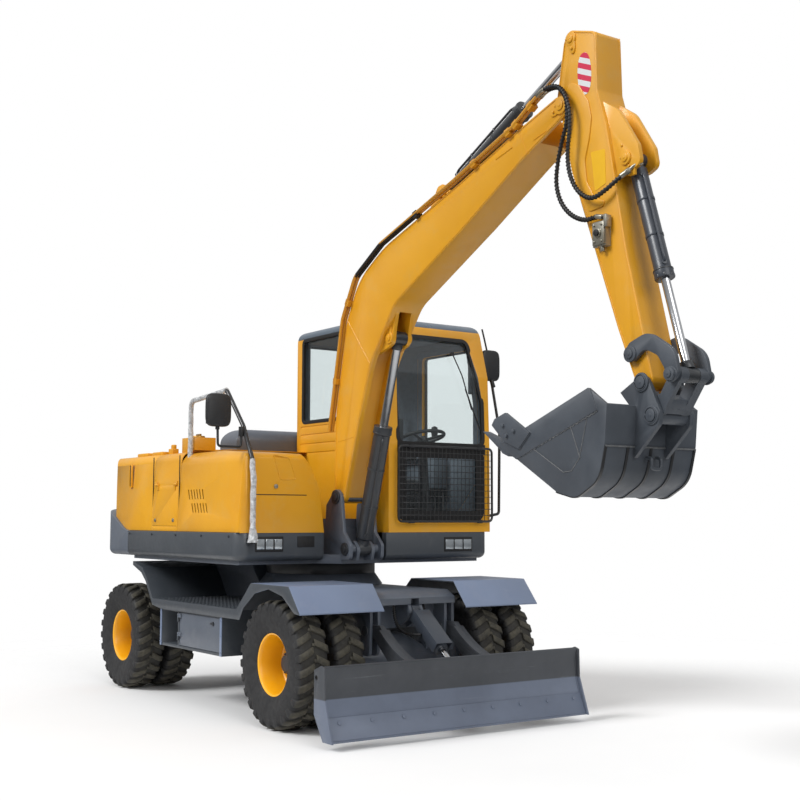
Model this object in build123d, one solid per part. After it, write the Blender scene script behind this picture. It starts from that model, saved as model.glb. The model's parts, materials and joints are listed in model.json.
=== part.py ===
from build123d import *

import os
from math import cos, hypot, pi, radians, sin, tan

# Wheeled excavator on twin tyres, with a dozer blade at the front.
# Millimetres, +X forward, +Y to the cab side, +Z up, ground at Z = 0.
# The machine is drawn about the middle of its wheelbase and written about the middle of its standing length.

# Standing length: the middle of the machine's box lies this far ahead of the middle of the wheelbase.
ORIGIN_X = 1285.0

# Wheels
WHEELBASE = 2570.0
FRONT_X = WHEELBASE / 2
REAR_X = -WHEELBASE / 2
TYRE_R = 430.0
TYRE_W = 232.0
TWIN_GAP = 44.0
OUTER_Y = 990.0
LUGS = 9
LUG_H = 20.0
RIM_R = 203.0
FLANGE_R = 232.0
RIM_WALL = 13.0
SEAT_GAP = 0.3
KINGPIN_Y = 530.0
SPINDLE_R = 42.0
HUB_R = 88.0

# Chassis
FRAME_HALF_W = 345.0
FRAME_TOP = 900.0
FRAME_BOTTOM = 640.0
FRAME_FRONT = FRONT_X + 205
FRAME_REAR = REAR_X - 275
TUNNEL_TOP = 1040.0
PLATE = 8.0
STEP_Y = OUTER_Y + 10
STEP_TOP = 770.0
FENDER_TOP = 2 * TYRE_R + 100
ARCH_R = TYRE_R + 70
BOX_FLOOR = 420.0
BOX_FRONT = FRONT_X - 702
BOX_REAR = REAR_X + 814
BOX_DOOR_X = BOX_REAR + 331

# Slewing joint
SLEW_X = 310.0
RING_R = 420.0
RING_BOTTOM = 985.0
RING_TOP = 1075.0

# House
HALF_W = 1050.0
FLOOR_Z = 1100.0
SKIRT_TOP = 1300.0
SKIRT_T = 60.0
SKIRT_ROUND = 50.0
WEIGHT_TOP = 1470.0
WEIGHT_FRONT = -1000.0
HOUSE_REAR = -1620.0
TAIL_R = 300.0
HOOD_FRONT = -577.0
HOOD_TOP = 1915.0
HOOD_LEAN = 3.0
HOOD_IN = 15.0
HOOD_R = 75.0
TANK_REAR = -90.0
TANK_FRONT = 930.0
TANK_TOP = 1898.0
TANK_INNER_Y = -350.0
SHELL = 6.0

# Cab
CAB_IN_Y = 100.0
CAB_FRONT = 1100.0
CAB_REAR = -250.0
CAB_TOP = 2930.0
ROOF_T = 62.0
WALL = 45.0

# Working equipment: the mid plane lies a little to the right of the machine's
BOOM_Y = -100.0
BOOM_W = 240.0
ARM_W = 200.0
PIN_R = 32.0
LINK_PIN_R = 26.0
PIN_GAP = 0.3
CHEEK_GAP = 1.0
HOSE_R = 11.0
# Pin centres at rest, X and Z
BOOM_FOOT = (928.0, 1557.0)
BOOM_TIP = (3365.0, 3831.0)
BOOM_CYL_BASE = (1055.0, 1183.0)
BOOM_CYL_EYE = (1512.0, 2671.0)
ARM_CYL_BASE = (2127.0, 3584.0)
ARM_CYL_EYE = (3435.0, 4217.0)
BUCKET_CYL_BASE = (3847.0, 3407.0)
LINK_PIN = (4209.0, 2158.0)
GUIDE_PIN = (3912.0, 2294.0)
BUCKET_PIN = (3992.0, 2133.0)
BUCKET_LINK_PIN = (4063.0, 1952.0)

# Blade
BLADE_HALF_W = 1050.0
BLADE_END_T = 12.0
BLADE_PIVOT = (FRONT_X + 215, 640.0)
BLADE_CYL_BASE = (FRONT_X + 275, 770.0)
BLADE_CYL_EYE = (FRONT_X + 705, 440.0)
BLADE_ARM_Y = 314.0
BLADE_ARM_HALF = 20.0
BLADE_PIN_R = 22.0
EAR_T = 22.0
TIE_R = 17.0


# ---- Shapes ----

def face_from(points, place):
    """A flat face; each corner is (u, v) or (u, v, radius) and place(u, v) puts it in space."""
    edges = []
    count = len(points)
    ends = []
    for i, corner in enumerate(points):
        here = Vector(corner[0], corner[1], 0)
        radius = corner[2] if len(corner) > 2 else 0
        if radius == 0:
            ends.append((here, here, None))
            continue
        before = Vector(points[i - 1][0], points[i - 1][1], 0)
        after = Vector(points[(i + 1) % count][0], points[(i + 1) % count][1], 0)
        back = (before - here).normalized()
        ahead = (after - here).normalized()
        half = radians(back.get_angle(ahead)) / 2
        reach = radius / tan(half)
        centre = here + (back + ahead).normalized() * (radius / sin(half))
        middle = centre + (here - centre).normalized() * radius
        ends.append((here + back * reach, here + ahead * reach, middle))
    for i, (start, end, middle) in enumerate(ends):
        if middle is not None:
            corners = [place(p.X, p.Y) for p in (start, middle, end)]
            edges.append(Edge.make_three_point_arc(*corners))
        following = ends[(i + 1) % count][0]
        if (following - end).length > 1e-6:
            edges.append(Edge.make_line(place(end.X, end.Y), place(following.X, following.Y)))
    return Face(Wire(edges))


def prism_x(points, low, high):
    """Corners are (y, z) and the prism runs along X."""
    face = face_from(points, lambda u, v: Vector(low, u, v))
    return Solid.extrude(face, Vector(high - low, 0, 0))


def prism_y(points, low, high):
    """Corners are (x, z) and the prism runs along Y."""
    face = face_from(points, lambda u, v: Vector(u, low, v))
    return Solid.extrude(face, Vector(0, high - low, 0))


def prism_z(points, low, high):
    """Corners are (x, y) and the prism runs along Z."""
    face = face_from(points, lambda u, v: Vector(u, v, low))
    return Solid.extrude(face, Vector(0, 0, high - low))


def box(x0, x1, y0, y1, z0, z1):
    plane = Plane(origin=(x0, y0, z0), z_dir=(0, 0, 1))
    return Solid.make_box(x1 - x0, y1 - y0, z1 - z0, plane)


def bar(start, end, radius):
    """A round bar between two points."""
    start = Vector(*start)
    end = Vector(*end)
    return Solid.make_cylinder(radius, (end - start).length, Plane(origin=start, z_dir=end - start))


def pin_y(centre, radius, y0, y1):
    """A round bar along Y about the pin centre (x, z)."""
    return bar((centre[0], y0, centre[1]), (centre[0], y1, centre[1]), radius)


def turned_y(profile, x, z):
    """A turned part about an axis along Y; the profile's corners are (radius, y)."""
    face = face_from(profile, lambda u, v: Vector(x + u, v, z))
    return Solid.revolve(face, 360, Axis((x, 0, z), (0, 1, 0)))


def turned_along(profile, start, end):
    """A turned part about the line from start to end; the profile's corners are (radius, distance)."""
    start = Vector(*start)
    along = (Vector(*end) - start).normalized()
    across = Vector(0, 1, 0).cross(along).normalized()
    face = face_from(profile, lambda u, v: start + along * v + across * u)
    return Solid.revolve(face, 360, Axis(start, along))


def fuse(*shapes):
    whole = shapes[0]
    for shape in shapes[1:]:
        whole = whole + shape
    return whole


def mirrored(shape):
    """The same piece on the other side of the machine."""
    return shape.mirror(Plane.XZ)


def side_of(shape, side):
    """The piece as drawn on the left for side 1, or mirrored to the right for side -1."""
    return shape if side > 0 else mirrored(shape)


def spread(side, inner, outer):
    """The low and high Y of something that lies from inner to outer on one side."""
    return (inner, outer) if side > 0 else (-outer, -inner)


def inset(points, distance):
    """The same outline moved inwards by a distance; radii of outer corners shrink with it."""
    count = len(points)
    area = sum(points[i - 1][0] * points[i][1] - points[i][0] * points[i - 1][1] for i in range(count))
    turn = 1 if area > 0 else -1
    moved = []
    for i, corner in enumerate(points):
        before = Vector(points[i - 1][0], points[i - 1][1], 0)
        here = Vector(corner[0], corner[1], 0)
        after = Vector(points[(i + 1) % count][0], points[(i + 1) % count][1], 0)
        first = (here - before).normalized()
        second = (after - here).normalized()
        normals = [Vector(-turn * d.Y, turn * d.X, 0) for d in (first, second)]
        share = distance / (1 + normals[0].dot(normals[1]))
        spot = here + (normals[0] + normals[1]) * share
        radius = corner[2] if len(corner) > 2 else 0
        bend = turn * (first.X * second.Y - first.Y * second.X)
        if radius > 0:
            radius = radius - distance if bend > 0 else radius + distance
        moved.append((spot.X, spot.Y, max(radius, 0)))
    return moved


def shifted(points, dx, dz=0.0):
    """The same outline moved along both of its axes."""
    return [(p[0] + dx, p[1] + dz, *p[2:]) for p in points]


def rounded(shape, radius, chosen):
    """Round the edges whose middle point the test accepts."""
    edges = [edge for edge in shape.edges() if chosen(edge @ 0.5)]
    return shape.fillet(radius, edges)


def write(node, *shapes):
    """Write one node, moved so that the origin lies under the middle of the machine."""
    solids = [solid for shape in shapes for solid in shape.solids()]
    moved = [solid.moved(Location((-ORIGIN_X, 0, 0))) for solid in solids]
    export_step(moved[0] if len(moved) == 1 else Compound(children=moved), f"parts/{node}.step")


# ---- Wheels and axles ----

# Widest step round the tyre in degrees; its flats still clear the rim
FLAT = 360 * 0.44 / LUGS
# One half of a tyre's section, columns: radius, share of the half width, whether a lug lifts it
TYRE_ROWS = [
    ((RIM_R + SEAT_GAP) / cos(radians(FLAT / 2)), 0.72, False),
    (310.0, 1.00, False),
    (TYRE_R - 34, 0.97, False),
    (TYRE_R - LUG_H, 0.80, True),
    (TYRE_R - LUG_H, 0.04, True),
]
# One pitch of the tread, columns: share of the pitch, lug on the outer half, lug on the inner half
TREAD_STEPS = [(0.00, True, False), (0.44, True, False), (0.50, False, True), (0.94, False, True)]


def flat_faces(corners):
    """One face through four corners that lie in a plane, or else two triangles."""
    a, b, c, d = corners
    normal = (b - a).cross(c - a).normalized()
    if abs(normal.dot(d - a)) < 1e-6:
        return [Face(Wire.make_polygon(corners, close=True))]
    return [Face(Wire.make_polygon(three, close=True)) for three in ((a, b, c), (a, c, d))]


def tyre():
    """One tyre about the Y axis in flat facets, its lugs in turn on the outer and the inner half."""
    rows = [(r, share, lug, 1) for r, share, lug in TYRE_ROWS]
    rows += [(r, -share, lug, 2) for r, share, lug in reversed(TYRE_ROWS)]
    rings = []
    for i in range(LUGS):
        for step in TREAD_STEPS:
            angle = radians(360 * (i + step[0]) / LUGS - 90)
            radii = [r + (LUG_H if lug and step[half] else 0) for r, share, lug, half in rows]
            rings.append([Vector(r * cos(angle), row[1] * TYRE_W / 2, r * sin(angle)) for r,
                          row in zip(radii, rows)])
    faces = []
    for near, far in zip(rings, rings[1:] + rings[:1]):
        for k in range(len(rows)):
            after = (k + 1) % len(rows)
            faces += flat_faces([near[k], near[after], far[after], far[k]])
    return Solid(Shell(faces))


def wheel_y():
    """Outer faces of the outer and the inner tyre of a pair."""
    return (OUTER_Y, OUTER_Y - TYRE_W - TWIN_GAP)


def tyres(x, side):
    shape = side_of(tyre(), side)
    return [shape.moved(Location((x, side * (outer - TYRE_W / 2), TYRE_R))) for outer in wheel_y()]


def rim(x, side):
    """Two rim barrels on one centre disc with its hub."""
    outer_tyre, inner_tyre = wheel_y()
    disc = (outer_tyre + inner_tyre - TYRE_W) / 2
    bore = RIM_R - RIM_WALL
    lip = 12
    bead = TYRE_W * (0.5 - 0.72 / 2)
    profile = [(SPINDLE_R + PIN_GAP, disc - 130), (HUB_R, disc - 130), (HUB_R, disc - 14), (bore, disc - 14)]
    low = inner_tyre - TYRE_W
    profile += [(bore, low + bead - lip), (FLANGE_R, low + bead - lip), (RIM_R, low + bead - 1),
                (RIM_R, inner_tyre - bead + 1), (FLANGE_R, inner_tyre - bead + lip)]
    low = outer_tyre - TYRE_W
    profile += [(FLANGE_R, low + bead - lip), (RIM_R, low + bead - 1), (RIM_R, outer_tyre - bead + 1),
                (FLANGE_R, outer_tyre - bead + lip), (bore, outer_tyre - bead + lip)]
    profile += [(bore, disc + 60), (150, disc + 14), (HUB_R, disc + 14), (HUB_R - 8, disc + 110),
                (60, disc + 130),
                (0, disc + 130), (0, disc + 96), (SPINDLE_R + PIN_GAP, disc + 96)]
    return side_of(turned_y(profile, x, TYRE_R), side)


def spindle_end():
    outer_tyre, inner_tyre = wheel_y()
    return (outer_tyre + inner_tyre - TYRE_W) / 2 + 90


FORK_HALF_H = 120.0
FORK_PLATE = 28.0
KNUCKLE_R = 60.0


def knuckle(side):
    z = TYRE_R
    half = FORK_HALF_H - FORK_PLATE - PIN_GAP
    body = bar((FRONT_X, KINGPIN_Y, z - half), (FRONT_X, KINGPIN_Y, z + half), KNUCKLE_R)
    spindle = pin_y((FRONT_X, z), SPINDLE_R, KINGPIN_Y, spindle_end())
    flange = pin_y((FRONT_X, z), HUB_R - 14, KINGPIN_Y + 20, KINGPIN_Y + 66)
    lever = box(FRONT_X - 150, FRONT_X, KINGPIN_Y - 44, KINGPIN_Y - 8, z - 60, z - 36)
    return side_of(fuse(body, spindle, flange, lever), side)


def axle_beam(x, reach):
    """A driving axle's housing out to y = reach on both sides, with its differential in the middle."""
    z = TYRE_R
    housing = turned_y([(0, -reach), (62, -reach), (70, -260), (150, -110), (172, -40), (172, 40),
                        (150, 110),
                        (70, 260), (62, reach), (0, reach)], x, z)
    pads = [box(x - 70, x + 70, s * 300 - 50, s * 300 + 50, z + 40, FRAME_BOTTOM) for s in (-1, 1)]
    return fuse(housing, *pads)


def front_axle():
    z = TYRE_R
    beam = axle_beam(FRONT_X, KINGPIN_Y - KNUCKLE_R - 16)
    forks = []
    for s in (-1, 1):
        web_y = s * (KINGPIN_Y - KNUCKLE_R - 16)
        forks.append(box(FRONT_X - 52, FRONT_X + 52, min(web_y - s * 34, web_y), max(web_y - s * 34, web_y),
                         z - FORK_HALF_H, z + FORK_HALF_H))
        for up in (-1, 1):
            low = z + up * FORK_HALF_H if up < 0 else z + FORK_HALF_H - FORK_PLATE
            lug = prism_z([(FRONT_X - 52, web_y - s * 20), (FRONT_X - 52, s * KINGPIN_Y, 20),
                           (FRONT_X - 30, s * (KINGPIN_Y + 48), 24), (FRONT_X + 30, s * (KINGPIN_Y + 48),
                                                                      24),
                           (FRONT_X + 52, s * KINGPIN_Y, 20), (FRONT_X + 52, web_y - s * 20)], low,
                           low + FORK_PLATE)
            forks.append(lug)
    return fuse(beam, *forks)


def rear_axle():
    beam = axle_beam(REAR_X, KINGPIN_Y + 20)
    spindles = [pin_y((REAR_X, TYRE_R), SPINDLE_R, min(s * 400, s * spindle_end()),
                      max(s * 400, s * spindle_end()))
                for s in (-1, 1)]
    flanges = [pin_y((REAR_X, TYRE_R), HUB_R - 4, min(s * 540, s * 592),
                     max(s * 540, s * 592)) for s in (-1, 1)]
    return fuse(beam, *spindles, *flanges)


def drive_line():
    z = TYRE_R + 20
    case = box(-150, 190, -150, 150, z - 90, FRAME_BOTTOM - 60)
    neck = box(-110, 110, -90, 90, FRAME_BOTTOM - 60, FRAME_BOTTOM)
    ahead = bar((190, 0, z), (FRONT_X - 172.5, 0, TYRE_R), 34)
    behind = bar((-150, 0, z), (REAR_X + 172.5, 0, TYRE_R), 34)
    return [fuse(case, neck), ahead, behind]


# ---- Chassis ----

def chassis_frame():
    beam_rear = FRAME_FRONT - 70
    side = [(FRAME_REAR, FRAME_BOTTOM + 40), (FRAME_REAR, FRAME_TOP), (FRAME_FRONT, FRAME_TOP),
            (FRAME_FRONT + 85, FRAME_TOP - 45), (FRAME_FRONT + 85, FRAME_TOP - 90),
            (beam_rear, FRAME_TOP - 90),
            (beam_rear, FRAME_BOTTOM), (FRAME_REAR + 60, FRAME_BOTTOM)]
    body = prism_y(side, -FRAME_HALF_W, FRAME_HALF_W)
    tunnel = prism_y([(FRAME_REAR + 560, FRAME_TOP - 10), (FRAME_REAR + 560, TUNNEL_TOP),
                      (SLEW_X - 480, TUNNEL_TOP),
                      (SLEW_X - 430, RING_BOTTOM - 10), (SLEW_X - 340, FRAME_TOP - 10)], -FRAME_HALF_W,
                      FRAME_HALF_W)
    pedestal = Solid.make_cone(RING_R + 60, RING_R, RING_BOTTOM - FRAME_TOP,
                               Plane(origin=(SLEW_X, 0, FRAME_TOP), z_dir=(0, 0, 1)))
    clevises = []
    ear_side = [(beam_rear - 20, FRAME_TOP - 60), (FRAME_FRONT + 60, FRAME_TOP - 60),
                (FRAME_FRONT + 60, 700, 60),
                (BLADE_PIVOT[0] + 40, 470, 30), (beam_rear + 20, 470, 60), (beam_rear - 20, 600, 60)]
    reach = BLADE_ARM_HALF + CHEEK_GAP
    for s in (-1, 1):
        for inner in (BLADE_ARM_Y - reach - EAR_T, BLADE_ARM_Y + reach):
            clevises.append(prism_y(ear_side, *spread(s, inner, inner + EAR_T)))
        clevises.append(pin_y(BLADE_PIVOT, BLADE_PIN_R, *spread(s, BLADE_ARM_Y - 52, BLADE_ARM_Y + 48)))
    base_x, base_z = BLADE_CYL_BASE
    ear = [(beam_rear - 20, 640), (beam_rear - 20, 830), (base_x + 10, base_z + 40, 30),
           (base_x + 40, base_z - 10, 30),
           (base_x - 20, 700), (beam_rear, 640)]
    ears = [prism_y(ear, *spread(s, 34, 58)) for s in (-1, 1)]
    pin = pin_y(BLADE_CYL_BASE, BLADE_PIN_R, -59, 59)
    pocket = prism_y([(base_x - 60, 600), (base_x - 60, 850), (base_x + 140, 850), (base_x + 140, 600)],
                     -34, 34)
    return fuse(body - pocket, tunnel, pedestal, *clevises, *ears, pin)


# Line of the step and fender sheet seen from the side: X, Z
STEP_LINE = [(REAR_X + 285, 1050), (REAR_X + 475, 1005), (REAR_X + 565, 925), (REAR_X + 685, STEP_TOP),
             (FRONT_X - 455, STEP_TOP), (FRONT_X - 245, FENDER_TOP), (FRONT_X + 275, FENDER_TOP),
             (FRONT_X + 421, 790)]


def side_step(side):
    """Step bay, fenders and tool box of one side, drawn on the left."""
    y_in = FRAME_HALF_W
    y_out = STEP_Y
    lower = [(x, z - PLATE) for x, z in reversed(STEP_LINE)]
    sheet = prism_y(STEP_LINE + lower, y_in, y_out)
    arch = [(FRONT_X + ARCH_R * cos(radians(a)), TYRE_R + ARCH_R * sin(radians(a))) for a in (46, 68, 90,
                                                                                              112, 135)]
    rear_foot = [(847, 700), (685, 720), (545, 900), (455, 965), (285, 1020)]
    lip_bottom = [(FRONT_X + 419, 782)] + arch + [(FRONT_X - 410, 700)] + shifted(rear_foot, REAR_X)
    lip = prism_y(STEP_LINE + lip_bottom, y_out - 6, y_out)
    tool_box = box(BOX_REAR, BOX_FRONT, y_in + 110, y_out - 20, BOX_FLOOR, STEP_TOP - PLATE)
    # Open bay behind, closed box ahead of the partition
    bays = [box(x0, x1, y_in + 150, y_out, BOX_FLOOR + 20, STEP_TOP - 80)
            for x0, x1 in ((BOX_REAR + 25, BOX_DOOR_X - 20), (BOX_DOOR_X - SEAT_GAP, BOX_FRONT - 40))]
    x, y = BOX_HINGE
    knuckles = [fuse(bar((x, y, z), (x, y, z + KNUCKLE_H), 7), box(x - 18, x - 4, y - 9, y, z,
                                                                   z + KNUCKLE_H))
                for z in BOX_KNUCKLES]
    return side_of(fuse(sheet, tool_box - bays[0] - bays[1], lip, *knuckles), side)


# Hinge line of the tool box door (x, y) and the foot of each of its knuckles
BOX_HINGE = (BOX_DOOR_X, STEP_Y - 12)
BOX_KNUCKLES = (BOX_FLOOR + 60, STEP_TOP - 150)
KNUCKLE_H = 30.0


def tool_box_door(side):
    """Door drawn on the left, with a leaf and a half knuckle at each hinge."""
    door = box(BOX_DOOR_X, BOX_FRONT - 42, STEP_Y - 38, STEP_Y - 24, BOX_FLOOR + 23, STEP_TOP - 83)
    x, y = BOX_HINGE
    hinges = []
    for z in BOX_KNUCKLES:
        low = z + KNUCKLE_H + SEAT_GAP
        hinges.append(bar((x, y, low), (x, y, low + KNUCKLE_H), 7))
        hinges.append(box(x, x + 40, STEP_Y - 25, y, low, low + KNUCKLE_H))
    return side_of(fuse(door, *hinges), side)


def slew_ring():
    ring = Solid.make_cylinder(RING_R, RING_TOP - RING_BOTTOM, Plane(origin=(SLEW_X, 0, RING_BOTTOM),
                                                                     z_dir=(0, 0, 1)))
    bore = Solid.make_cylinder(RING_R - 70, RING_TOP - RING_BOTTOM,
                               Plane(origin=(SLEW_X, 0, RING_BOTTOM), z_dir=(0, 0, 1)))
    return ring - bore


# ---- Dozer blade ----

# Blade section and end plate, columns: X from the front axle, Z
BLADE_SKIN = [(745, 478), (798, 488), (786, 420), (788, 300), (830, 160), (884, 46), (820, 46), (788, 150),
              (752, 300),
              (745, 420)]
BLADE_END = [(690, 470), (770, 502), (812, 490), (816, 300), (905, 46), (795, 46), (690, 200)]
TIE_EYE = (FRONT_X + 716, 425)


def blade():
    board = prism_y(shifted(BLADE_SKIN, FRONT_X), -BLADE_HALF_W + BLADE_END_T, BLADE_HALF_W - BLADE_END_T)
    edge = pin_y((FRONT_X + 772, 482), 16, -BLADE_HALF_W + BLADE_END_T, BLADE_HALF_W - BLADE_END_T)
    ends = [prism_y(shifted(BLADE_END, FRONT_X), *spread(s, BLADE_HALF_W - BLADE_END_T,
                                                         BLADE_HALF_W)) for s in (-1, 1)]
    eyes = pin_y(TIE_EYE, TIE_R, -BLADE_HALF_W - 1, BLADE_HALF_W + 1)
    arms = []
    px, pz = BLADE_PIVOT
    upper = [(px + 130, pz + 40), (px + 295, 545, 900), (FRONT_X + 755, 455)]
    outline = [(px - 38, pz - 38, 36), (px - 38, pz + 38, 36)] + upper
    outline += [(FRONT_X + 775, 250), (px + 385, 330, 900), (px + 80, pz - 60)]
    # Flange along the upper edge, started clear of the frame's ears
    flange = [(px + 160, pz + 15), (px + 295, 545, 900), (FRONT_X + 755, 455), (FRONT_X + 755, 443),
              (px + 295, 533, 900),
              (px + 160, pz + 3)]
    for s in (-1, 1):
        arm = prism_y(outline, *spread(s, BLADE_ARM_Y - BLADE_ARM_HALF, BLADE_ARM_Y + BLADE_ARM_HALF))
        bore = pin_y(BLADE_PIVOT, BLADE_PIN_R + PIN_GAP, *spread(s, BLADE_ARM_Y - 30, BLADE_ARM_Y + 30))
        arms += [arm - bore, prism_y(flange, *spread(s, BLADE_ARM_Y - 40, BLADE_ARM_Y + 40))]
    x, z = BLADE_CYL_EYE
    lug = [(x - 30, z - 40, 36), (x - 30, z + 40, 36), (x + 60, z + 30), (x + 60, z - 50)]
    lugs = [prism_y(lug, *spread(s, 34, 58)) for s in (-1, 1)]
    return fuse(board, edge, *ends, *arms, *lugs) - eyes


def cylinder_pair(base, eye, y, bore_r, wall, rod_r, head, barrel_end, rod_start, eye_r, eye_half,
                  base_half):
    """Barrel and rod of a hydraulic cylinder between two pins in the plane at y.

    base, eye: pin centres (x, z). Distances from the base pin: barrel_end of the gland, rod_start of the piston
    end, head of the barrel's inner end.
    """
    start = (base[0], y, base[1])
    end = (eye[0], y, eye[1])
    length = hypot(eye[0] - base[0], eye[1] - base[1])
    outer = bore_r + wall
    profile = [(0, eye_r * 0.6), (outer * 0.7, eye_r * 0.6), (outer * 0.7, head - 22), (outer, head - 6),
               (outer, barrel_end - 60),
               (outer + 7, barrel_end - 54), (outer + 7, barrel_end), (rod_r + PIN_GAP, barrel_end),
               (rod_r + PIN_GAP, barrel_end - 40), (bore_r, barrel_end - 40), (bore_r, head), (0, head)]
    tube = turned_along(profile, start, end)
    base_eye = pin_y(base, eye_r, y - base_half, y + base_half)
    barrel = fuse(tube, base_eye)
    rod_profile = [(0, rod_start), (bore_r - PIN_GAP, rod_start), (bore_r - PIN_GAP, rod_start + 40),
                   (rod_r, rod_start + 40), (rod_r, length - eye_r * 0.6), (0, length - eye_r * 0.6)]
    rod = fuse(turned_along(rod_profile, start, end), pin_y(eye, eye_r, y - eye_half, y + eye_half))
    return barrel, rod


# ---- House ----

def platform():
    """Turntable deck with the bracket that carries the boom and its cylinder."""
    deck = prism_z([(WEIGHT_FRONT, -HALF_W + 60), (838, -HALF_W + 60), (838, TANK_INNER_Y - 20),
                    (1000, -245), (1000, 45),
                    (1010, CAB_IN_Y), (1010, HALF_W - 60), (WEIGHT_FRONT, HALF_W - 60)],
                    RING_TOP + SEAT_GAP, FLOOR_Z + 40)
    ears = []
    ear = [(760, FLOOR_Z + 30), (790, 1500), (BOOM_FOOT[0] - 60, BOOM_FOOT[1] + 20, 30),
           (BOOM_FOOT[0] - 10, BOOM_FOOT[1] + 70, 50), (BOOM_FOOT[0] + 62, BOOM_FOOT[1] + 20, 50),
           (1030, 1300),
           (BOOM_CYL_BASE[0] + 66, BOOM_CYL_BASE[1] + 30, 40), (BOOM_CYL_BASE[0] + 60, FLOOR_Z + 10, 30),
           (960, FLOOR_Z + 4)]
    half = BOOM_W / 2 + CHEEK_GAP
    for y0 in (BOOM_Y - half - 26, BOOM_Y + half):
        ears.append(prism_y(ear, y0, y0 + 26))
    back = box(745, 775, BOOM_Y - half - 26, BOOM_Y + half + 26, FLOOR_Z + 30, 1400)
    foot_pin = pin_y(BOOM_FOOT, PIN_R, BOOM_Y - half - 36, BOOM_Y + half + 36)
    base_pin = pin_y(BOOM_CYL_BASE, PIN_R, BOOM_Y - half - 30, BOOM_Y + half + 30)
    inner_ears = []
    for y0 in (BOOM_Y - 76, BOOM_Y + 50):
        inner_ears.append(prism_y([(900, FLOOR_Z + 30), (960, 1240),
                                   (BOOM_CYL_BASE[0], BOOM_CYL_BASE[1] + 58, 40),
                                   (BOOM_CYL_BASE[0] + 58, BOOM_CYL_BASE[1], 40), (1090, FLOOR_Z + 4),
                                   (960, FLOOR_Z + 4)], y0, y0 + 26))
    return fuse(deck, *ears, back, foot_pin, base_pin, *inner_ears)


TAIL_PLAN = [(HOUSE_REAR, -HALF_W, TAIL_R), (WEIGHT_FRONT, -HALF_W), (WEIGHT_FRONT, HALF_W),
             (HOUSE_REAR, HALF_W, TAIL_R)]
# Upper line of the tail weight seen from the side: X, Z, radius
WEIGHT_LINE = [(WEIGHT_FRONT, SKIRT_TOP), (-1060, SKIRT_TOP, 400), (-1400, WEIGHT_TOP - 15, 500),
               (-1700, 1500)]


def counterweight():
    """Tail weight under the engine hood, its top rising towards the tail."""
    whole = rounded(prism_z(TAIL_PLAN, FLOOR_Z, 1520), SKIRT_ROUND,
                    lambda m: abs(m.Z - FLOOR_Z) < 1 and m.X < WEIGHT_FRONT - 1)
    return whole & prism_y([(WEIGHT_FRONT + 1, FLOOR_Z - 1), (WEIGHT_FRONT + 1, SKIRT_TOP)] + WEIGHT_LINE[1:]
                           + [(-1700, FLOOR_Z - 1)], -HALF_W - 1, HALF_W + 1)


def skirt(side):
    """Dark band along one side of the house and round its front."""
    front, end = (TANK_FRONT, TANK_INNER_Y) if side < 0 else (CAB_FRONT, CAB_IN_Y - 20)
    inner = HALF_W - SKIRT_T
    outline = [(WEIGHT_FRONT, side * HALF_W), (front, side * HALF_W, 100), (front, end),
               (front - SKIRT_T, end),
               (front - SKIRT_T, side * inner, 25), (WEIGHT_FRONT, side * inner)]
    band = prism_z(outline, FLOOR_Z, SKIRT_TOP)
    return rounded(band, SKIRT_ROUND,
                   lambda m: abs(m.Z - FLOOR_Z) < 1 and (abs(m.Y) > HALF_W - 31 or m.X > front - 1))


SIDE_FOOT = HALF_W - HOOD_IN
SIDE_TOP = HALF_W - 50
# Section of the body over the engine seen from behind: Y, Z, radius
BODY_SECTION = [(-SIDE_FOOT, SKIRT_TOP), (-SIDE_TOP, HOOD_TOP - 15, HOOD_R),
                (-SIDE_TOP + 400, HOOD_TOP + 23, 300),
                (SIDE_TOP - 400, HOOD_TOP + 23, 300), (SIDE_TOP, HOOD_TOP - 15, HOOD_R),
                (SIDE_FOOT, SKIRT_TOP)]


def floor_dropped(section, depth):
    """The same open-bottomed outline with its first and last corner lowered."""
    return [(section[0][0], section[0][1] - depth)] + section[1:-1] + [(section[-1][0],
                                                                        section[-1][1] - depth)]


def body_cover():
    """Fixed body between the hood and the tank, with the side cover's opening and the filler box."""
    x0 = HOOD_FRONT + 3
    x1 = TANK_REAR - 3
    cover = prism_x(BODY_SECTION, x0, x1) - prism_x(floor_dropped(inset(BODY_SECTION, SHELL), 20), x0 - 10,
                                                    x1 + 10)
    cover = cover - box(CAB_REAR - 3, x1 + 10, CAB_IN_Y - 3, HALF_W, SKIRT_TOP - 10, HOOD_TOP + 60)
    cover = cover - box(COVER_REAR - 2, COVER_FRONT + 2, -HALF_W, -HALF_W + 120, COVER_FOOT - 2,
                        COVER_TOP + SEAT_GAP)
    y0 = -HALF_W + 120
    y1 = -HALF_W + 300
    filler = [box(CAB_REAR, x1, y0, y1, HOOD_TOP - 8, 2020), box(x1 - 1, x1 + 63, y0, y1, HOOD_TOP + 5,
                                                                 2020),
              bar((-145, (y0 + y1) / 2, 2020), (-145, (y0 + y1) / 2, 2036), 48)]
    y, z = COVER_HINGE
    mounts = []
    for x in (x0 + 40, x1 - 40 - HINGE_LONG):
        mounts += [bar((x, y, z), (x + HINGE_LONG, y, z), 8), box(x, x + HINGE_LONG, y, y + 14, z, z + 24)]
    hood_hinges = [pin_y(HOOD_HINGE, 11, y, y + HINGE_LONG) for y in HOOD_HINGE_Y]
    feet = [box(x0, x0 + 16, y, y + HINGE_LONG, HOOD_TOP + 10, HOOD_HINGE[1]) for y in HOOD_HINGE_Y]
    lips = [box(HOOD_HINGE[0], x0 + 1, y, y + HINGE_LONG, HOOD_HINGE[1] - 4,
                HOOD_HINGE[1] + 4) for y in HOOD_HINGE_Y]
    return fuse(cover, *filler, *mounts, *hood_hinges, *feet, *lips)


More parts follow.
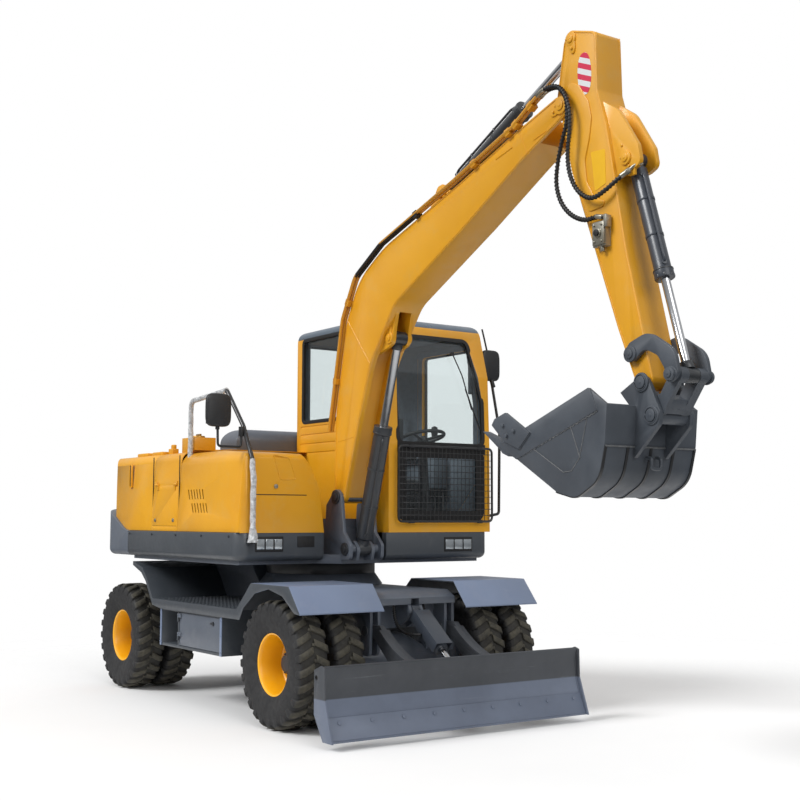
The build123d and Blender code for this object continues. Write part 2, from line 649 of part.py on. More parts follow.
# Side cover: its edges, and its hinge line (y, z)
COVER_REAR = HOOD_FRONT + 22.0
COVER_FRONT = TANK_REAR - 22.0
COVER_FOOT = SKIRT_TOP + 42.0
COVER_TOP = 1656.0
COVER_HINGE = (-SIDE_FOOT + 11, COVER_TOP + 4)
# Hinge line of the engine hood (x, z) and the start of each fixed knuckle along it
HOOD_HINGE = (HOOD_FRONT, HOOD_TOP + 36)
HOOD_HINGE_Y = (-480.0, 420.0)
HINGE_LONG = 30.0


def side_cover():
    """Lid in the right side of the body, with its two hinge knuckles."""
    slab = prism_x([(-SIDE_FOOT, SKIRT_TOP), BODY_SECTION[1][:2], (-SIDE_TOP + SHELL, HOOD_TOP - 15),
                    (-SIDE_FOOT + SHELL, SKIRT_TOP)], COVER_REAR, COVER_FRONT)
    slab = slab & box(COVER_REAR, COVER_FRONT, -HALF_W, -HALF_W + 120, COVER_FOOT, COVER_TOP)
    y, z = COVER_HINGE
    low = HOOD_FRONT + 43 + HINGE_LONG + SEAT_GAP
    high = TANK_REAR - 43 - HINGE_LONG - SEAT_GAP
    knuckles = [bar((x, y, z), (x + HINGE_LONG, y, z), 8) for x in (low, high - HINGE_LONG)]
    leaves = [box(x, x + HINGE_LONG, y, y + 14, z - 40, COVER_TOP) for x in (low, high - HINGE_LONG)]
    return fuse(slab, *knuckles, *leaves)


# Section of the tank cover seen from the front: Y, Z, radius
TANK_SECTION = [(-SIDE_FOOT, SKIRT_TOP), (-SIDE_TOP, TANK_TOP, 110), (-560, TANK_TOP, 60), (-462, 1765, 60),
                (-393, 1625, 100), (TANK_INNER_Y, SKIRT_TOP)]
# The same cover from the side and from above: X with Z, X with Y, radius
TANK_PROFILE = [(TANK_REAR, 1200), (TANK_REAR, TANK_TOP + 2), (480, TANK_TOP - 3),
                (TANK_FRONT, TANK_TOP - 36, 50),
                (TANK_FRONT, 1200)]
TANK_PLAN = [(TANK_REAR, -HALF_W), (TANK_FRONT, -HALF_W, 90), (TANK_FRONT, 0), (TANK_REAR, 0)]
# Louvre rows: X of the first slot's top, Z of its top and of its foot
LOUVRES = [(51, 1614, 1541), (125, 1511, 1442)]
LOUVRE_PITCH = 47.0
LOUVRE_W = 17.0
LOUVRE_SLANT = 33.0


def tank_box():
    outer = prism_x(TANK_SECTION, TANK_REAR, TANK_FRONT) & prism_y(TANK_PROFILE, -HALF_W, 0)
    outer = outer & prism_z(TANK_PLAN, SKIRT_TOP - 1, TANK_TOP + 10)
    section = floor_dropped(inset(TANK_SECTION, SHELL), 20)
    inner = prism_x(section, TANK_REAR + SHELL, TANK_FRONT - SHELL) & prism_y(inset(TANK_PROFILE, SHELL),
                                                                              -HALF_W, 0)
    inner = inner & prism_z(inset(TANK_PLAN, SHELL), SKIRT_TOP - 30, TANK_TOP)
    cover = outer - inner
    slots = []
    for x, top, foot in LOUVRES:
        for i in range(6):
            x0 = x + i * LOUVRE_PITCH
            slot = [(x0, top), (x0 + LOUVRE_W, top), (x0 + LOUVRE_W + LOUVRE_SLANT, foot),
                    (x0 + LOUVRE_SLANT, foot)]
            slots.append(prism_y(slot, -HALF_W, -HALF_W + 80))
    return cover - slots


HOOD_PLAN = [(HOUSE_REAR + 60, -HALF_W, 380), (HOOD_FRONT, -HALF_W), (HOOD_FRONT, HALF_W),
             (HOUSE_REAR + 60, HALF_W, 380)]


def hood_form(shrink):
    """Solid under the engine hood's skin, its lower edge along the tail weight."""
    section = [(y, z, *r) for y, z, *r in inset(BODY_SECTION, shrink)] if shrink else BODY_SECTION
    crown = HOOD_TOP + 30
    rear = HOUSE_REAR + 60 + shrink
    front = HOOD_FRONT + (20 if shrink else 0)
    low = [(x, z + SEAT_GAP - 3 * shrink, *r) for x, z, *r in WEIGHT_LINE]
    profile = [(front, SKIRT_TOP + SEAT_GAP - 3 * shrink), (front, crown),
               (rear + 45, HOOD_TOP + 24 - shrink, 90 - shrink),
               (rear, low[2][1] - 0.15 * (rear + 1400))] + low[-2:0:-1]
    plan = inset(HOOD_PLAN, shrink) if shrink else HOOD_PLAN
    plan = [plan[0], (front, plan[1][1]), (front, plan[2][1]), plan[3]]
    form = prism_x(floor_dropped(section, 40), -1700, front) & prism_y(profile, -HALF_W, HALF_W)
    return form & prism_z(plan, SKIRT_TOP - 40, crown)


def engine_hood():
    hood = hood_form(0) - hood_form(SHELL)
    x, z = HOOD_HINGE
    knuckles = []
    for y in HOOD_HINGE_Y:
        low = y + HINGE_LONG + SEAT_GAP
        knuckles += [pin_y(HOOD_HINGE, 11, low, low + HINGE_LONG), box(x - 50, x - 1, low, low + HINGE_LONG,
                                                                       HOOD_TOP + 10, z)]
    return fuse(hood, *knuckles)


def engine_dome():
    """Rounded housing across the body behind the cab."""
    dome = prism_y([(-555, HOOD_TOP - 40), (-555, 2120, 100), (-265, 2120, 100), (-265, HOOD_TOP - 40)],
                   -450, HALF_W - 100)
    ends = prism_x([(-450, HOOD_TOP - 40), (-450, 2120, 120), (HALF_W - 100, 2120, 40),
                    (HALF_W - 100, HOOD_TOP - 40)],
                   -560, -260)
    roof = shifted(BODY_SECTION, 0, SEAT_GAP)
    return dome & ends - prism_x(roof, -560, -260)


def engine_block():
    return box(WEIGHT_FRONT + 20, -480, -700, 600, FLOOR_Z + 40 + SEAT_GAP, 1780)


def cab_profile(shrink=0.0):
    """Side view of the cab, corners (x, z, radius)."""
    s = shrink
    return [(CAB_REAR + s, SKIRT_TOP + s), (CAB_REAR + s, CAB_TOP - s, 90), (960 - s, CAB_TOP - s, 140),
            (1080 - s, 2500, 60), (CAB_FRONT - s, 1960, 100), (CAB_FRONT - s, SKIRT_TOP + s)]


# Window and door outlines of the cab: the two axes across each wall, radius
DOOR_OUTLINE = [(200, 1400), (200, 2800, 60), (900, 2800, 60), (1010, 2300), (1010, 1700), (700, 1400)]
DOOR_WINDOW = [(260, 1900, 40), (260, 2740, 40), (860, 2740, 40), (950, 2300, 30), (950, 1900, 40)]
SIDE_WINDOW = [(-160, 2180, 40), (-160, 2860, 40), (850, 2860, 60), (940, 2440, 40), (940, 2180, 40)]
REAR_WINDOW = [(CAB_IN_Y + 90, 2100, 40), (CAB_IN_Y + 90, 2830, 40), (HALF_W - 90, 2830, 40),
               (HALF_W - 90, 2100, 40)]
FRONT_WINDOW = [(CAB_IN_Y + 80, 1960, 60), (CAB_IN_Y + 80, 2790, 90), (HALF_W - 150, 2790, 60),
                (HALF_W - 60, 2300, 60), (HALF_W - 60, 1960, 60)]
LOW_WINDOW = [(CAB_IN_Y + 110, 1420, 40), (CAB_IN_Y + 110, 1900, 40), (HALF_W - 90, 1900, 40),
              (HALF_W - 90, 1420, 40)]


# Door hinge line (x, y) and the foot of each fixed knuckle
DOOR_HINGE = (195.0, HALF_W + 12)
DOOR_KNUCKLES = (1560.0, 2560.0)


def above(height):
    """Room over a height, as wide as the cab."""
    return box(CAB_REAR - 5, CAB_FRONT + 5, CAB_IN_Y - 5, HALF_W + 5, height, CAB_TOP + 5)


# Pressed lines in the right panel below the window: Z
PRESSED = (2142, 2076, 2002, 1928)


def cab_shell():
    outer = prism_y(cab_profile(), CAB_IN_Y, HALF_W) - above(CAB_TOP - ROOF_T)
    inner = prism_y(cab_profile(WALL), CAB_IN_Y + WALL, HALF_W - WALL)
    cuts = [
        prism_y(DOOR_OUTLINE, HALF_W - WALL - 10, HALF_W + 10),
        prism_y(SIDE_WINDOW, CAB_IN_Y - 10, CAB_IN_Y + WALL + 10),
        prism_x(REAR_WINDOW, CAB_REAR - 10, CAB_REAR + WALL + 10),
        prism_x(FRONT_WINDOW, 900, CAB_FRONT + 60),
        prism_x(LOW_WINDOW, 1000, CAB_FRONT + 60),
    ]
    shell = outer - inner
    cuts += [box(-190, 900, CAB_IN_Y - 5, CAB_IN_Y + 4, z - 7, z + 7) for z in PRESSED]
    for cut in cuts:
        shell = shell - cut
    knuckles = [bar((*DOOR_HINGE, z), (*DOOR_HINGE, z + 40), 14) for z in DOOR_KNUCKLES]
    return fuse(shell, *knuckles)


def cab_roof():
    """Cap over the cab with rounded side edges."""
    cap = prism_y(cab_profile(), CAB_IN_Y, HALF_W) & above(CAB_TOP - ROOF_T + SEAT_GAP)
    cap = cap & prism_x([(CAB_IN_Y, 2800), (CAB_IN_Y, CAB_TOP, 45), (HALF_W, CAB_TOP, 45), (HALF_W, 2800)],
                        CAB_REAR - 1, CAB_FRONT)
    return cap - prism_y(cab_profile(WALL), CAB_IN_Y + WALL, HALF_W - WALL)


def cab_glass():
    """Panes of the cab's fixed windows; the windscreen follows the slope of the front."""
    pane = 6
    gap = SEAT_GAP
    band = inset(cab_profile(), 18)
    inner_band = inset(cab_profile(), 18 + pane)
    skin = prism_y(band, CAB_IN_Y, HALF_W) - prism_y(inner_band, CAB_IN_Y - 1, HALF_W + 1)
    front = skin & prism_x(inset(FRONT_WINDOW, gap), 900, CAB_FRONT + 60)
    low = skin & prism_x(inset(LOW_WINDOW, gap), 1000, CAB_FRONT + 60)
    rear = prism_x(inset(REAR_WINDOW, gap), CAB_REAR + 20, CAB_REAR + 20 + pane)
    right = prism_y(inset(SIDE_WINDOW, gap), CAB_IN_Y + 18, CAB_IN_Y + 18 + pane)
    return [front, low, rear, right]


def cab_door():
    door = prism_y(inset(DOOR_OUTLINE, 3), HALF_W - WALL, HALF_W)
    door = door - prism_y(DOOR_WINDOW, HALF_W - WALL - 10, HALF_W + 10)
    x, y = DOOR_HINGE
    leaves = []
    for z in DOOR_KNUCKLES:
        low = z + 40 + SEAT_GAP
        leaves.append(bar((x, y, low), (x, y, low + 40), 11))
        leaves.append(prism_z([(x, HALF_W + 1), (x + 12, HALF_W + 1), (x + 12, HALF_W - 2),
                               (x + 60, HALF_W - 2),
                               (x + 60, y), (x, y)], low, low + 40))
    return fuse(door, *leaves)


def door_glass():
    return prism_y(inset(DOOR_WINDOW, SEAT_GAP), HALF_W - 26, HALF_W - 20)


def seat():
    base = box(150, 600, 380, 800, SKIRT_TOP + WALL, 1600)
    cushion = box(140, 640, 340, 840, 1600 + SEAT_GAP, 1720)
    back = prism_y([(60, 1740), (0, 2400, 40), (110, 2400, 40), (200, 1740)], 360, 820)
    return [base, fuse(cushion, back + box(100, 200, 360, 820, 1700, 1745))]


def console():
    floor = SKIRT_TOP + WALL
    foot = bar((900, 580, floor), (900, 580, floor + 12), 60)
    column = bar((900, 580, floor + 5), (858, 580, 2026), 34)
    wheel = Solid.make_torus(170, 16, Plane(origin=(855, 580, 2030), z_dir=(-0.25, 0, 1)))
    spoke = bar((690, 580, 1989), (1020, 580, 2071), 10)
    return fuse(foot, column, wheel, spoke)


# ---- Boom, arm and bucket ----

# Corners of the boom's side plate: X, Z, radius
BOOM_SIDE = [
    (BOOM_FOOT[0] - 66, BOOM_FOOT[1] + 10, 0), (872, 2158, 900), (1020, 2850, 260), (1180, 3130, 500),
    (1500, 3310, 900),
    (2355, 3574, 0), (2950, 3775, 400), (BOOM_TIP[0] - 30, BOOM_TIP[1] + 62, 60),
    (BOOM_TIP[0] + 66, BOOM_TIP[1] + 20, 55), (BOOM_TIP[0] + 30, BOOM_TIP[1] - 66, 60), (3017, 3590, 600),
    (2458, 3293, 500), (1640, 2890, 260), (1340, 2510, 500), (1186, 2100, 0),
    (BOOM_FOOT[0] + 62, BOOM_FOOT[1] - 30, 60),
    (BOOM_FOOT[0] - 60, BOOM_FOOT[1] - 56, 54),
]


def boom():
    half = BOOM_W / 2
    body = prism_y(BOOM_SIDE, BOOM_Y - half, BOOM_Y + half)
    hollow = prism_y([(1000, 2200), (1140, 2900), (1500, 3180), (2400, 3460), (3000, 3690), (3000, 3620),
                      (2400, 3340),
                      (1600, 2990), (1240, 2600), (1110, 2200)], BOOM_Y - half + 10, BOOM_Y + half - 10)
    foot_bore = pin_y(BOOM_FOOT, PIN_R + PIN_GAP, BOOM_Y - half - 5, BOOM_Y + half + 5)
    fork = ARM_W / 2 + CHEEK_GAP
    head_slot = prism_y([(BOOM_TIP[0] - 190, BOOM_TIP[1] - 250), (BOOM_TIP[0] - 260, BOOM_TIP[1] + 150),
                         (BOOM_TIP[0] + 200, BOOM_TIP[1] + 150), (BOOM_TIP[0] + 200, BOOM_TIP[1] - 250)],
                        BOOM_Y - fork, BOOM_Y + fork)
    # Room between the cheeks for the cylinder's eye, and a shallow channel below it for the barrel
    pocket = prism_y([(1380, 2440), (1330, 2700), (1380, 2800), (1440, 2860), (1560, 2880), (1660, 2790),
                      (1660, 2620)], BOOM_Y - 50, BOOM_Y + 50)
    channel = prism_y([(900, 1470), (900, 1500), (BOOM_FOOT[0] + 36, 1557), (1106, 2112), (1244, 2530),
                       (1360, 2700),
                       (1600, 2500), (1200, 1400)], BOOM_Y - 78, BOOM_Y + 78)
    lugs = []
    for y0 in (BOOM_Y - 78, BOOM_Y + 50):
        lugs.append(prism_y([(1330, 2560), (1480, 2600, 30), (BOOM_CYL_EYE[0] + 40, BOOM_CYL_EYE[1] - 46,
                                                              50),
                             (BOOM_CYL_EYE[0] + 50, BOOM_CYL_EYE[1] + 40, 50), (1600, 2860), (1480, 2860)],
                            y0, y0 + 28))
        lugs.append(prism_y([(1960, 3440), (ARM_CYL_BASE[0] - 50, ARM_CYL_BASE[1] + 30, 40),
                             (ARM_CYL_BASE[0] + 20, ARM_CYL_BASE[1] + 62, 50),
                             (ARM_CYL_BASE[0] + 66, ARM_CYL_BASE[1], 50), (2300, 3540), (2300, 3440)],
                            y0, y0 + 28))
    base_pin = pin_y(ARM_CYL_BASE, PIN_R, BOOM_Y - 90, BOOM_Y + 90)
    tip_pin = pin_y(BOOM_TIP, PIN_R, BOOM_Y - half - 12, BOOM_Y + half + 12)
    return fuse(body - hollow - channel, *lugs) - pocket - foot_bore - head_slot + base_pin + tip_pin


VALVE_X = 3643.0
VALVE_TOP = 3068.0


def arm():
    half = ARM_W / 2
    # Corners of the side plate: X, Z, radius
    outline = [
        (ARM_CYL_EYE[0] - 62, ARM_CYL_EYE[1] - 10, 50), (ARM_CYL_EYE[0] - 20, ARM_CYL_EYE[1] + 60, 50),
        (3640, 4200, 40),
        (3650, 3850, 60), (3720, 3620, 60), (3860, 2900, 0), (BUCKET_PIN[0] + 56, BUCKET_PIN[1] + 10, 50),
        (BUCKET_PIN[0] + 10, BUCKET_PIN[1] - 56, 50), (BUCKET_PIN[0] - 60, BUCKET_PIN[1] - 20, 50),
        (3790, 2450, 0),
        (3545, 3124, 0), (3430, 3425, 60), (BOOM_TIP[0] - 20, BOOM_TIP[1] - 50, 40),
        (BOOM_TIP[0] - 62, BOOM_TIP[1] + 20, 50),
    ]
    body = prism_y(outline, BOOM_Y - half, BOOM_Y + half)
    hollow = prism_y([(3500, 3700), (3620, 3700), (3780, 2900), (3860, 2500), (3800, 2500), (3560, 3200)],
                     BOOM_Y - half + 10, BOOM_Y + half - 10)
    lugs = []
    for y0 in (BOOM_Y - 78, BOOM_Y + 50):
        lugs.append(prism_y([(3640, 3800), (BUCKET_CYL_BASE[0] - 55, BUCKET_CYL_BASE[1] + 290, 150),
                             (BUCKET_CYL_BASE[0] + 92, BUCKET_CYL_BASE[1] + 58, 60),
                             (BUCKET_CYL_BASE[0] + 112, BUCKET_CYL_BASE[1] - 50, 40),
                             (BUCKET_CYL_BASE[0] + 50, BUCKET_CYL_BASE[1] - 76, 30), (3740, 3300)], y0,
                             y0 + 28))
    bores = [pin_y(centre, radius + PIN_GAP, BOOM_Y - half - 5, BOOM_Y + half + 5)
             for centre, radius in ((BOOM_TIP, PIN_R), (BUCKET_PIN, PIN_R), (GUIDE_PIN, 26))]
    base_pin = pin_y(BUCKET_CYL_BASE, 26, BOOM_Y - 90, BOOM_Y + 90)
    eye_room = prism_y([(3250, 4060), (3250, 4400), (3560, 4400), (3560, 4120), (3480, 4060)], BOOM_Y - 60,
                       BOOM_Y + 60)
    # Valve block with its hose elbow, and the bracket where the other hose ends
    valve = box(VALVE_X, VALVE_X + 100, BOOM_Y - half - 42, BOOM_Y - half, 2925, VALVE_TOP)
    elbow = box(VALVE_X + 94, VALVE_X + 116, BOOM_Y - half - 50, BOOM_Y - half - 10, VALVE_TOP - 40,
                VALVE_TOP + 28)
    bracket = prism_y([(3840, 3330), (3840, 3380), (3912, 3380), (3912, 3300), (3866, 3300)], BOOM_Y - 78,
                      BOOM_Y - 62)
    whole = fuse(body - hollow - eye_room, *lugs, base_pin, valve, elbow, bracket)
    for bore in bores:
        whole = whole - bore
    return whole


LINK_Y = ARM_W / 2 + 4
LINK_T = 28


def guide_links():
    """Two curved links with the pin that carries them through the arm."""
    links = []
    start = GUIDE_PIN
    end = LINK_PIN
    curve = [(start[0] - 44, start[1] - 20, 42), (start[0] - 20, start[1] + 60, 50),
             (start[0] + 130, start[1] + 110, 120),
             (end[0] + 20, end[1] + 130, 120), (end[0] + 46, end[1] - 10, 44),
             (end[0] - 20, end[1] - 46, 36),
             (end[0] - 56, end[1] + 40, 30), (end[0] - 100, end[1] + 110, 60),
             (start[0] + 100, start[1] + 20, 60),
             (start[0] + 20, start[1] - 44, 30)]
    for y0 in (BOOM_Y - LINK_Y - LINK_T, BOOM_Y + LINK_Y):
        links.append(prism_y(curve, y0, y0 + LINK_T))
    pin = pin_y(start, 26, BOOM_Y - LINK_Y - LINK_T - 8, BOOM_Y + LINK_Y + LINK_T + 8)
    return fuse(*links, pin)


def h_link():
    """Link from the cylinder's pin down to the bucket, forked for the rod's eye."""
    top = LINK_PIN
    low = BUCKET_LINK_PIN
    parts = []
    for s in (-1, 1):
        y0, y1 = (BOOM_Y + 44, BOOM_Y + LINK_Y - 1) if s > 0 else (BOOM_Y - LINK_Y + 1, BOOM_Y - 44)
        parts.append(pin_y(top, 44, y0, y1))
        parts.append(prism_y([(top[0] - 40, top[1] + 10), (top[0] + 40, top[1] - 10), (low[0] + 44, low[1]),
                              (low[0] - 44, low[1])], y0, y0 + 30 if s < 0 else y1))
    across = prism_y([(low[0] - 20, low[1] + 36), (low[0] + 60, low[1] + 6), (low[0] + 94, low[1] + 80),
                      (low[0] + 20, low[1] + 116)], BOOM_Y - LINK_Y + 2, BOOM_Y + LINK_Y - 2)
    tube = pin_y(low, 45, BOOM_Y - LINK_Y + 2, BOOM_Y + LINK_Y - 2)
    bore = pin_y(low, PIN_R + PIN_GAP, BOOM_Y - LINK_Y, BOOM_Y + LINK_Y)
    return fuse(*parts, across, tube) - bore


# Outer shell of the bucket seen from the side: X, Z, radius
BUCKET_SIDE = [(3047, 1831), (3194, 1754), (3549, 1550, 60), (3700, 1515, 120), (3880, 1610, 160),
               (3930, 1800, 160),
               (3950, 2010), (3814, 2106)]
BUCKET_HALF = 350


def bucket():
    wall = 12
    outer = prism_y(BUCKET_SIDE, BOOM_Y - BUCKET_HALF, BOOM_Y + BUCKET_HALF)
    cavity = [(3000, 1880)] + [p for p in inset(BUCKET_SIDE, wall)[1:-1]] + [(3960, 2060), (3814, 2160)]
    body = outer - prism_y(cavity, BOOM_Y - BUCKET_HALF + 16, BOOM_Y + BUCKET_HALF - 16)
    # Band along the mouth, and a cutter at each front corner
    band = prism_y([(3020, 1850), (3814, 2135), (3880, 1980), (3094, 1699)], BOOM_Y - BUCKET_HALF - 8,
                   BOOM_Y + BUCKET_HALF + 8)
    band = band & prism_y(BUCKET_SIDE, BOOM_Y - BUCKET_HALF - 8, BOOM_Y + BUCKET_HALF + 8)
    band = band - prism_y([(2900, 1700), (3000, 2200), (4000, 2200), (4000, 1600)],
                          BOOM_Y - BUCKET_HALF + 16,
                          BOOM_Y + BUCKET_HALF - 16)
    cutter = [(3010, 1950), (3036, 1985, 12), (3137, 2017, 20), (3347, 1890), (3249, 1800), (3120, 1850)]
    cutters = [prism_y(cutter, y0, y0 + 18) for y0 in (BOOM_Y - BUCKET_HALF - 22, BOOM_Y + BUCKET_HALF + 4)]
    ears = []
    ear = [(BUCKET_PIN[0] - 62, BUCKET_PIN[1] + 10, 50), (BUCKET_PIN[0] + 10, BUCKET_PIN[1] + 66, 55),
           (BUCKET_PIN[0] + 62, BUCKET_PIN[1] - 20, 50), (BUCKET_LINK_PIN[0] + 56, BUCKET_LINK_PIN[1] + 20,
                                                          50),
           (BUCKET_LINK_PIN[0] + 50, BUCKET_LINK_PIN[1] - 50, 50), (3930, 1730), (3920, 1990), (3830, 2090)]
    for y0 in (BOOM_Y - LINK_Y - LINK_T, BOOM_Y + LINK_Y):
        ears.append(prism_y(ear, y0, y0 + LINK_T))
    pins = [pin_y(centre, PIN_R, BOOM_Y - LINK_Y - LINK_T - 8, BOOM_Y + LINK_Y + LINK_T + 8)
            for centre in (BUCKET_PIN, BUCKET_LINK_PIN)]
    teeth = []
    tooth = [(3120, 1800), (3060, 1860), (2894, 1922), (3020, 1830), (3090, 1780)]
    for i in range(5):
        y0 = BOOM_Y - BUCKET_HALF + 4 + i * 158
        teeth.append(prism_y(tooth, y0, y0 + 60))
    return fuse(body, band, *cutters, *ears, *pins, *teeth)


BOOM_CYL = dict(y=BOOM_Y, bore_r=50, wall=10, rod_r=32, head=92, barrel_end=915, rod_start=600, eye_r=48,
                eye_half=49,
                base_half=49)
ARM_CYL = dict(y=BOOM_Y, bore_r=45, wall=9, rod_r=28, head=86, barrel_end=860, rod_start=588, eye_r=46,
               eye_half=58,
               base_half=49)
BUCKET_CYL = dict(y=BOOM_Y, bore_r=40, wall=8, rod_r=25, head=74, barrel_end=735, rod_start=490, eye_r=42,
                  eye_half=43, base_half=49)
BLADE_CYL = dict(y=0, bore_r=36, wall=7, rod_r=24, head=70, barrel_end=400, rod_start=190, eye_r=36,
                 eye_half=33,
                 base_half=33)


def pinned_cylinder(base, eye, sizes, base_pin_r):
    """A cylinder pair whose base eye turns on a pin of its carrier."""
    barrel, rod = cylinder_pair(base, eye, **sizes)
    return barrel - pin_y(base, base_pin_r + PIN_GAP, sizes["y"] - 200, sizes["y"] + 200), rod


def beside(start, end, points):
    """Points given as (distance along the line, distance above it) turned into (x, z)."""
    along = (Vector(end[0], end[1]) - Vector(start[0], start[1])).normalized()
    return [(start[0] + along.X * a - along.Y * up, start[1] + along.Y * a + along.X * up) for a,
            up in points]


def cylinder_guard():
    """Channel over the blade cylinder's barrel, strapped to it."""
    line = (BLADE_CYL_BASE, BLADE_CYL_EYE)
    outer = prism_y(beside(*line, [(70, -20), (70, 62), (405, 62), (405, -20)]), -65, 65)
    inner = prism_y(beside(*line, [(60, -30), (60, 58), (415, 58), (415, -30)]), -61, 61)
    straps = [prism_y(beside(*line, [(a, 15), (a, 60), (a + 40, 60), (a + 40, 15)]), -63, 63) for a in (110,
                                                                                                        280)]
    room = pin_along(line, 36)
    return [outer - inner] + [strap - room for strap in straps]


def pin_along(line, radius):
    """A round bar along a line given by two (x, z) ends in the middle plane."""
    return bar((line[0][0], 0, line[0][1]), (line[1][0], 0, line[1][1]), radius)


# ---- Pipes and hoses ----

PIPE_R = 12.0
PIPE_UP = 28.0
PIPE_Y = (BOOM_Y - BOOM_W / 2 + 3, BOOM_Y - BOOM_W / 2 - 25)
# Hoses from the pipes to the arm, and from the frame to the blade cylinder: X, Y, Z
HOSE_TO_CYLINDER = [
    (3226, PIPE_Y[1], 3956), (3340, -252, 3962), (3440, -265, 3886), (3493, -270, 3765), (3492, -272, 3635),
    (3470, -272, 3505), (3485, -270, 3375), (3548, -264, 3262), (3655, -260, 3196), (3765, -250, 3235),
    (3840, -225, 3290), (3886, -191, 3326),
]
HOSE_TO_VALVE = [
    (3226, PIPE_Y[0], 3956), (3325, -222, 3964), (3412, -234, 3900), (3442, -240, 3800), (3432, -240, 3690),
    (3385, -240, 3590), (3350, -240, 3475), (3335, -240, 3360), (3370, -238, 3245), (3455, -236, 3150),
    (3570, -234, 3095), (3665, -232, 3104), (3734, -231, 3086),
]
HOSE_TO_BLADE = [
    (FRONT_X + 212, 125, 808), (FRONT_X + 222, 130, 730), (FRONT_X + 265, 129, 662),
    (FRONT_X + 340, 118, 622),
    (FRONT_X + 415, 99, 614), (FRONT_X + 466, 77, 620),
]
BLADE_HOSE_R = 9.0


def boom_pipes():
    """Two pipes up the boom's back and along its top, with their clamps."""
    back = inset(BOOM_SIDE, -PIPE_UP)[1:7]
    run = [(corner[0], corner[1]) for corner in back] + [(3140, 3914), (3222, 3954)]
    run[0] = (run[0][0] - 25, run[0][1] - 117)
    pieces = [bent_tube([(x, y, z) for x, z in run], PIPE_R, 160) for y in PIPE_Y]
    for i, share in ((0, 0.45), (1, 0.4), (3, 0.5), (4, 0.35), (4, 0.93), (5, 0.15), (5, 0.85)):
        a, b = run[i], run[i + 1]
        length = hypot(b[0] - a[0], b[1] - a[1])
        middle = length * share
        clamp = [(middle - 22, -PIPE_UP + SEAT_GAP), (middle - 22, 16), (middle + 22, 16),
                 (middle + 22, -PIPE_UP + SEAT_GAP)]
        pieces.append(prism_y(beside(a, b, clamp), PIPE_Y[1] - 9, PIPE_Y[0] + 14))
    return fuse(*pieces)


def hose(points, radius):
    """A hose through its points, each corner rounded as widely as its shorter run allows."""
    nodes = [Vector(*p) for p in points]
    bends = []
    for before, here, after in zip(nodes, nodes[1:], nodes[2:]):
        turn = radians((here - before).get_angle(after - here))
        bends.append(0.45 * min((here - before).length, (after - here).length) / tan(turn / 2))
    path = FilletPolyline(*nodes, radius=bends)
    print("hose radii", [round(bend) for bend in bends], "length", round(path.length))
    section = Plane(origin=nodes[0], z_dir=nodes[1] - nodes[0]) * Circle(radius)
    body = sweep(section, path=path).solids()[0]
    print("volume over section times length", round(body.volume / (pi * radius ** 2 * path.length), 4))
    return body


def blade_hose(side):
    return hose([(x, side * y, z) for x, y, z in HOSE_TO_BLADE], BLADE_HOSE_R)


# ---- Rails, mirrors and guard ----

def bent_tube(points, radius, bend):
    """A round tube along straight runs joined by arcs of one radius."""
    path = FilletPolyline(*[Vector(*p) for p in points], radius=bend)
    start = Vector(*points[0])
    ahead = Vector(*points[1]) - start
    section = Plane(origin=start, z_dir=ahead) * Circle(radius)
    return sweep(section, path=path).solids()[0]


RAIL_Y = -(HALF_W - 90)
RAIL_R = 16.0


def handrail():
    foot_x = TANK_FRONT + 55
    points = [(-37, RAIL_Y, 1790), (-37, RAIL_Y, 2290), (560, RAIL_Y, 2330),
              (TANK_FRONT - 105, RAIL_Y, 2052),
              (TANK_FRONT + 35, RAIL_Y, 1815), (foot_x, RAIL_Y, 1660), (foot_x, RAIL_Y, 1235)]
    foot = box(TANK_FRONT, foot_x, RAIL_Y - 20, RAIL_Y + 20, 1225, 1265)
    return fuse(bent_tube(points, RAIL_R, 60), foot) - prism_x(TANK_SECTION, CAB_REAR, TANK_FRONT)


def right_mirror():
    near = RAIL_Y - RAIL_R - 12
    tube = bent_tube([(845, near + 2, 2030), (850, near - 2, 1900), (860, -HALF_W - 130, 1900),
                      (860, -HALF_W - 132, 2060)], 9, 30)
    head = box(840, 890, -HALF_W - 228, -HALF_W - 35, 2035, 2270)
    clamp = box(828, 866, RAIL_Y - 36, RAIL_Y - RAIL_R, 1975, 2048)
    return fuse(tube, head, clamp)


def left_mirror():
    rail = bent_tube([(1060, HALF_W + 3, 1420), (1040, HALF_W + 140, 1440), (1040, HALF_W + 150, 2090),
                      (1000, HALF_W + 100, 2500)], 12, 40)
    head = box(960, 1010, HALF_W + 10, HALF_W + 190, 2490, 2740)
    return fuse(rail, head)


def windscreen_guard():
    """Mesh of square wires in a frame, on four stand-offs."""
    x = CAB_FRONT + 40
    y0 = CAB_IN_Y + 60
    y1 = HALF_W - 10
    z0 = 1380
    z1 = 1940
    bars = [box(x - 9, x + 9, y0 - 9, y1 + 9, z - 9, z + 9) for z in (z0, z1)]
    bars += [box(x - 9, x + 9, y - 9, y + 9, z0, z1) for y in (y0, y1)]
    for i in range(1, 8):
        z = z0 + (z1 - z0) * i / 8
        bars.append(box(x - 4, x + 4, y0, y1, z - 4, z + 4))
    for i in range(1, 16):
        y = y0 + (y1 - y0) * i / 16
        bars.append(box(x - 4, x + 4, y - 4, y + 4, z0, z1))
    for y in (y0 + 120, y1 - 120):
        for z in (z0, z1):
            bars.append(box(CAB_FRONT + SEAT_GAP, x, y - 10, y + 10, z - 8, z + 8))
    return fuse(*bars)


os.makedirs("parts", exist_ok=True)

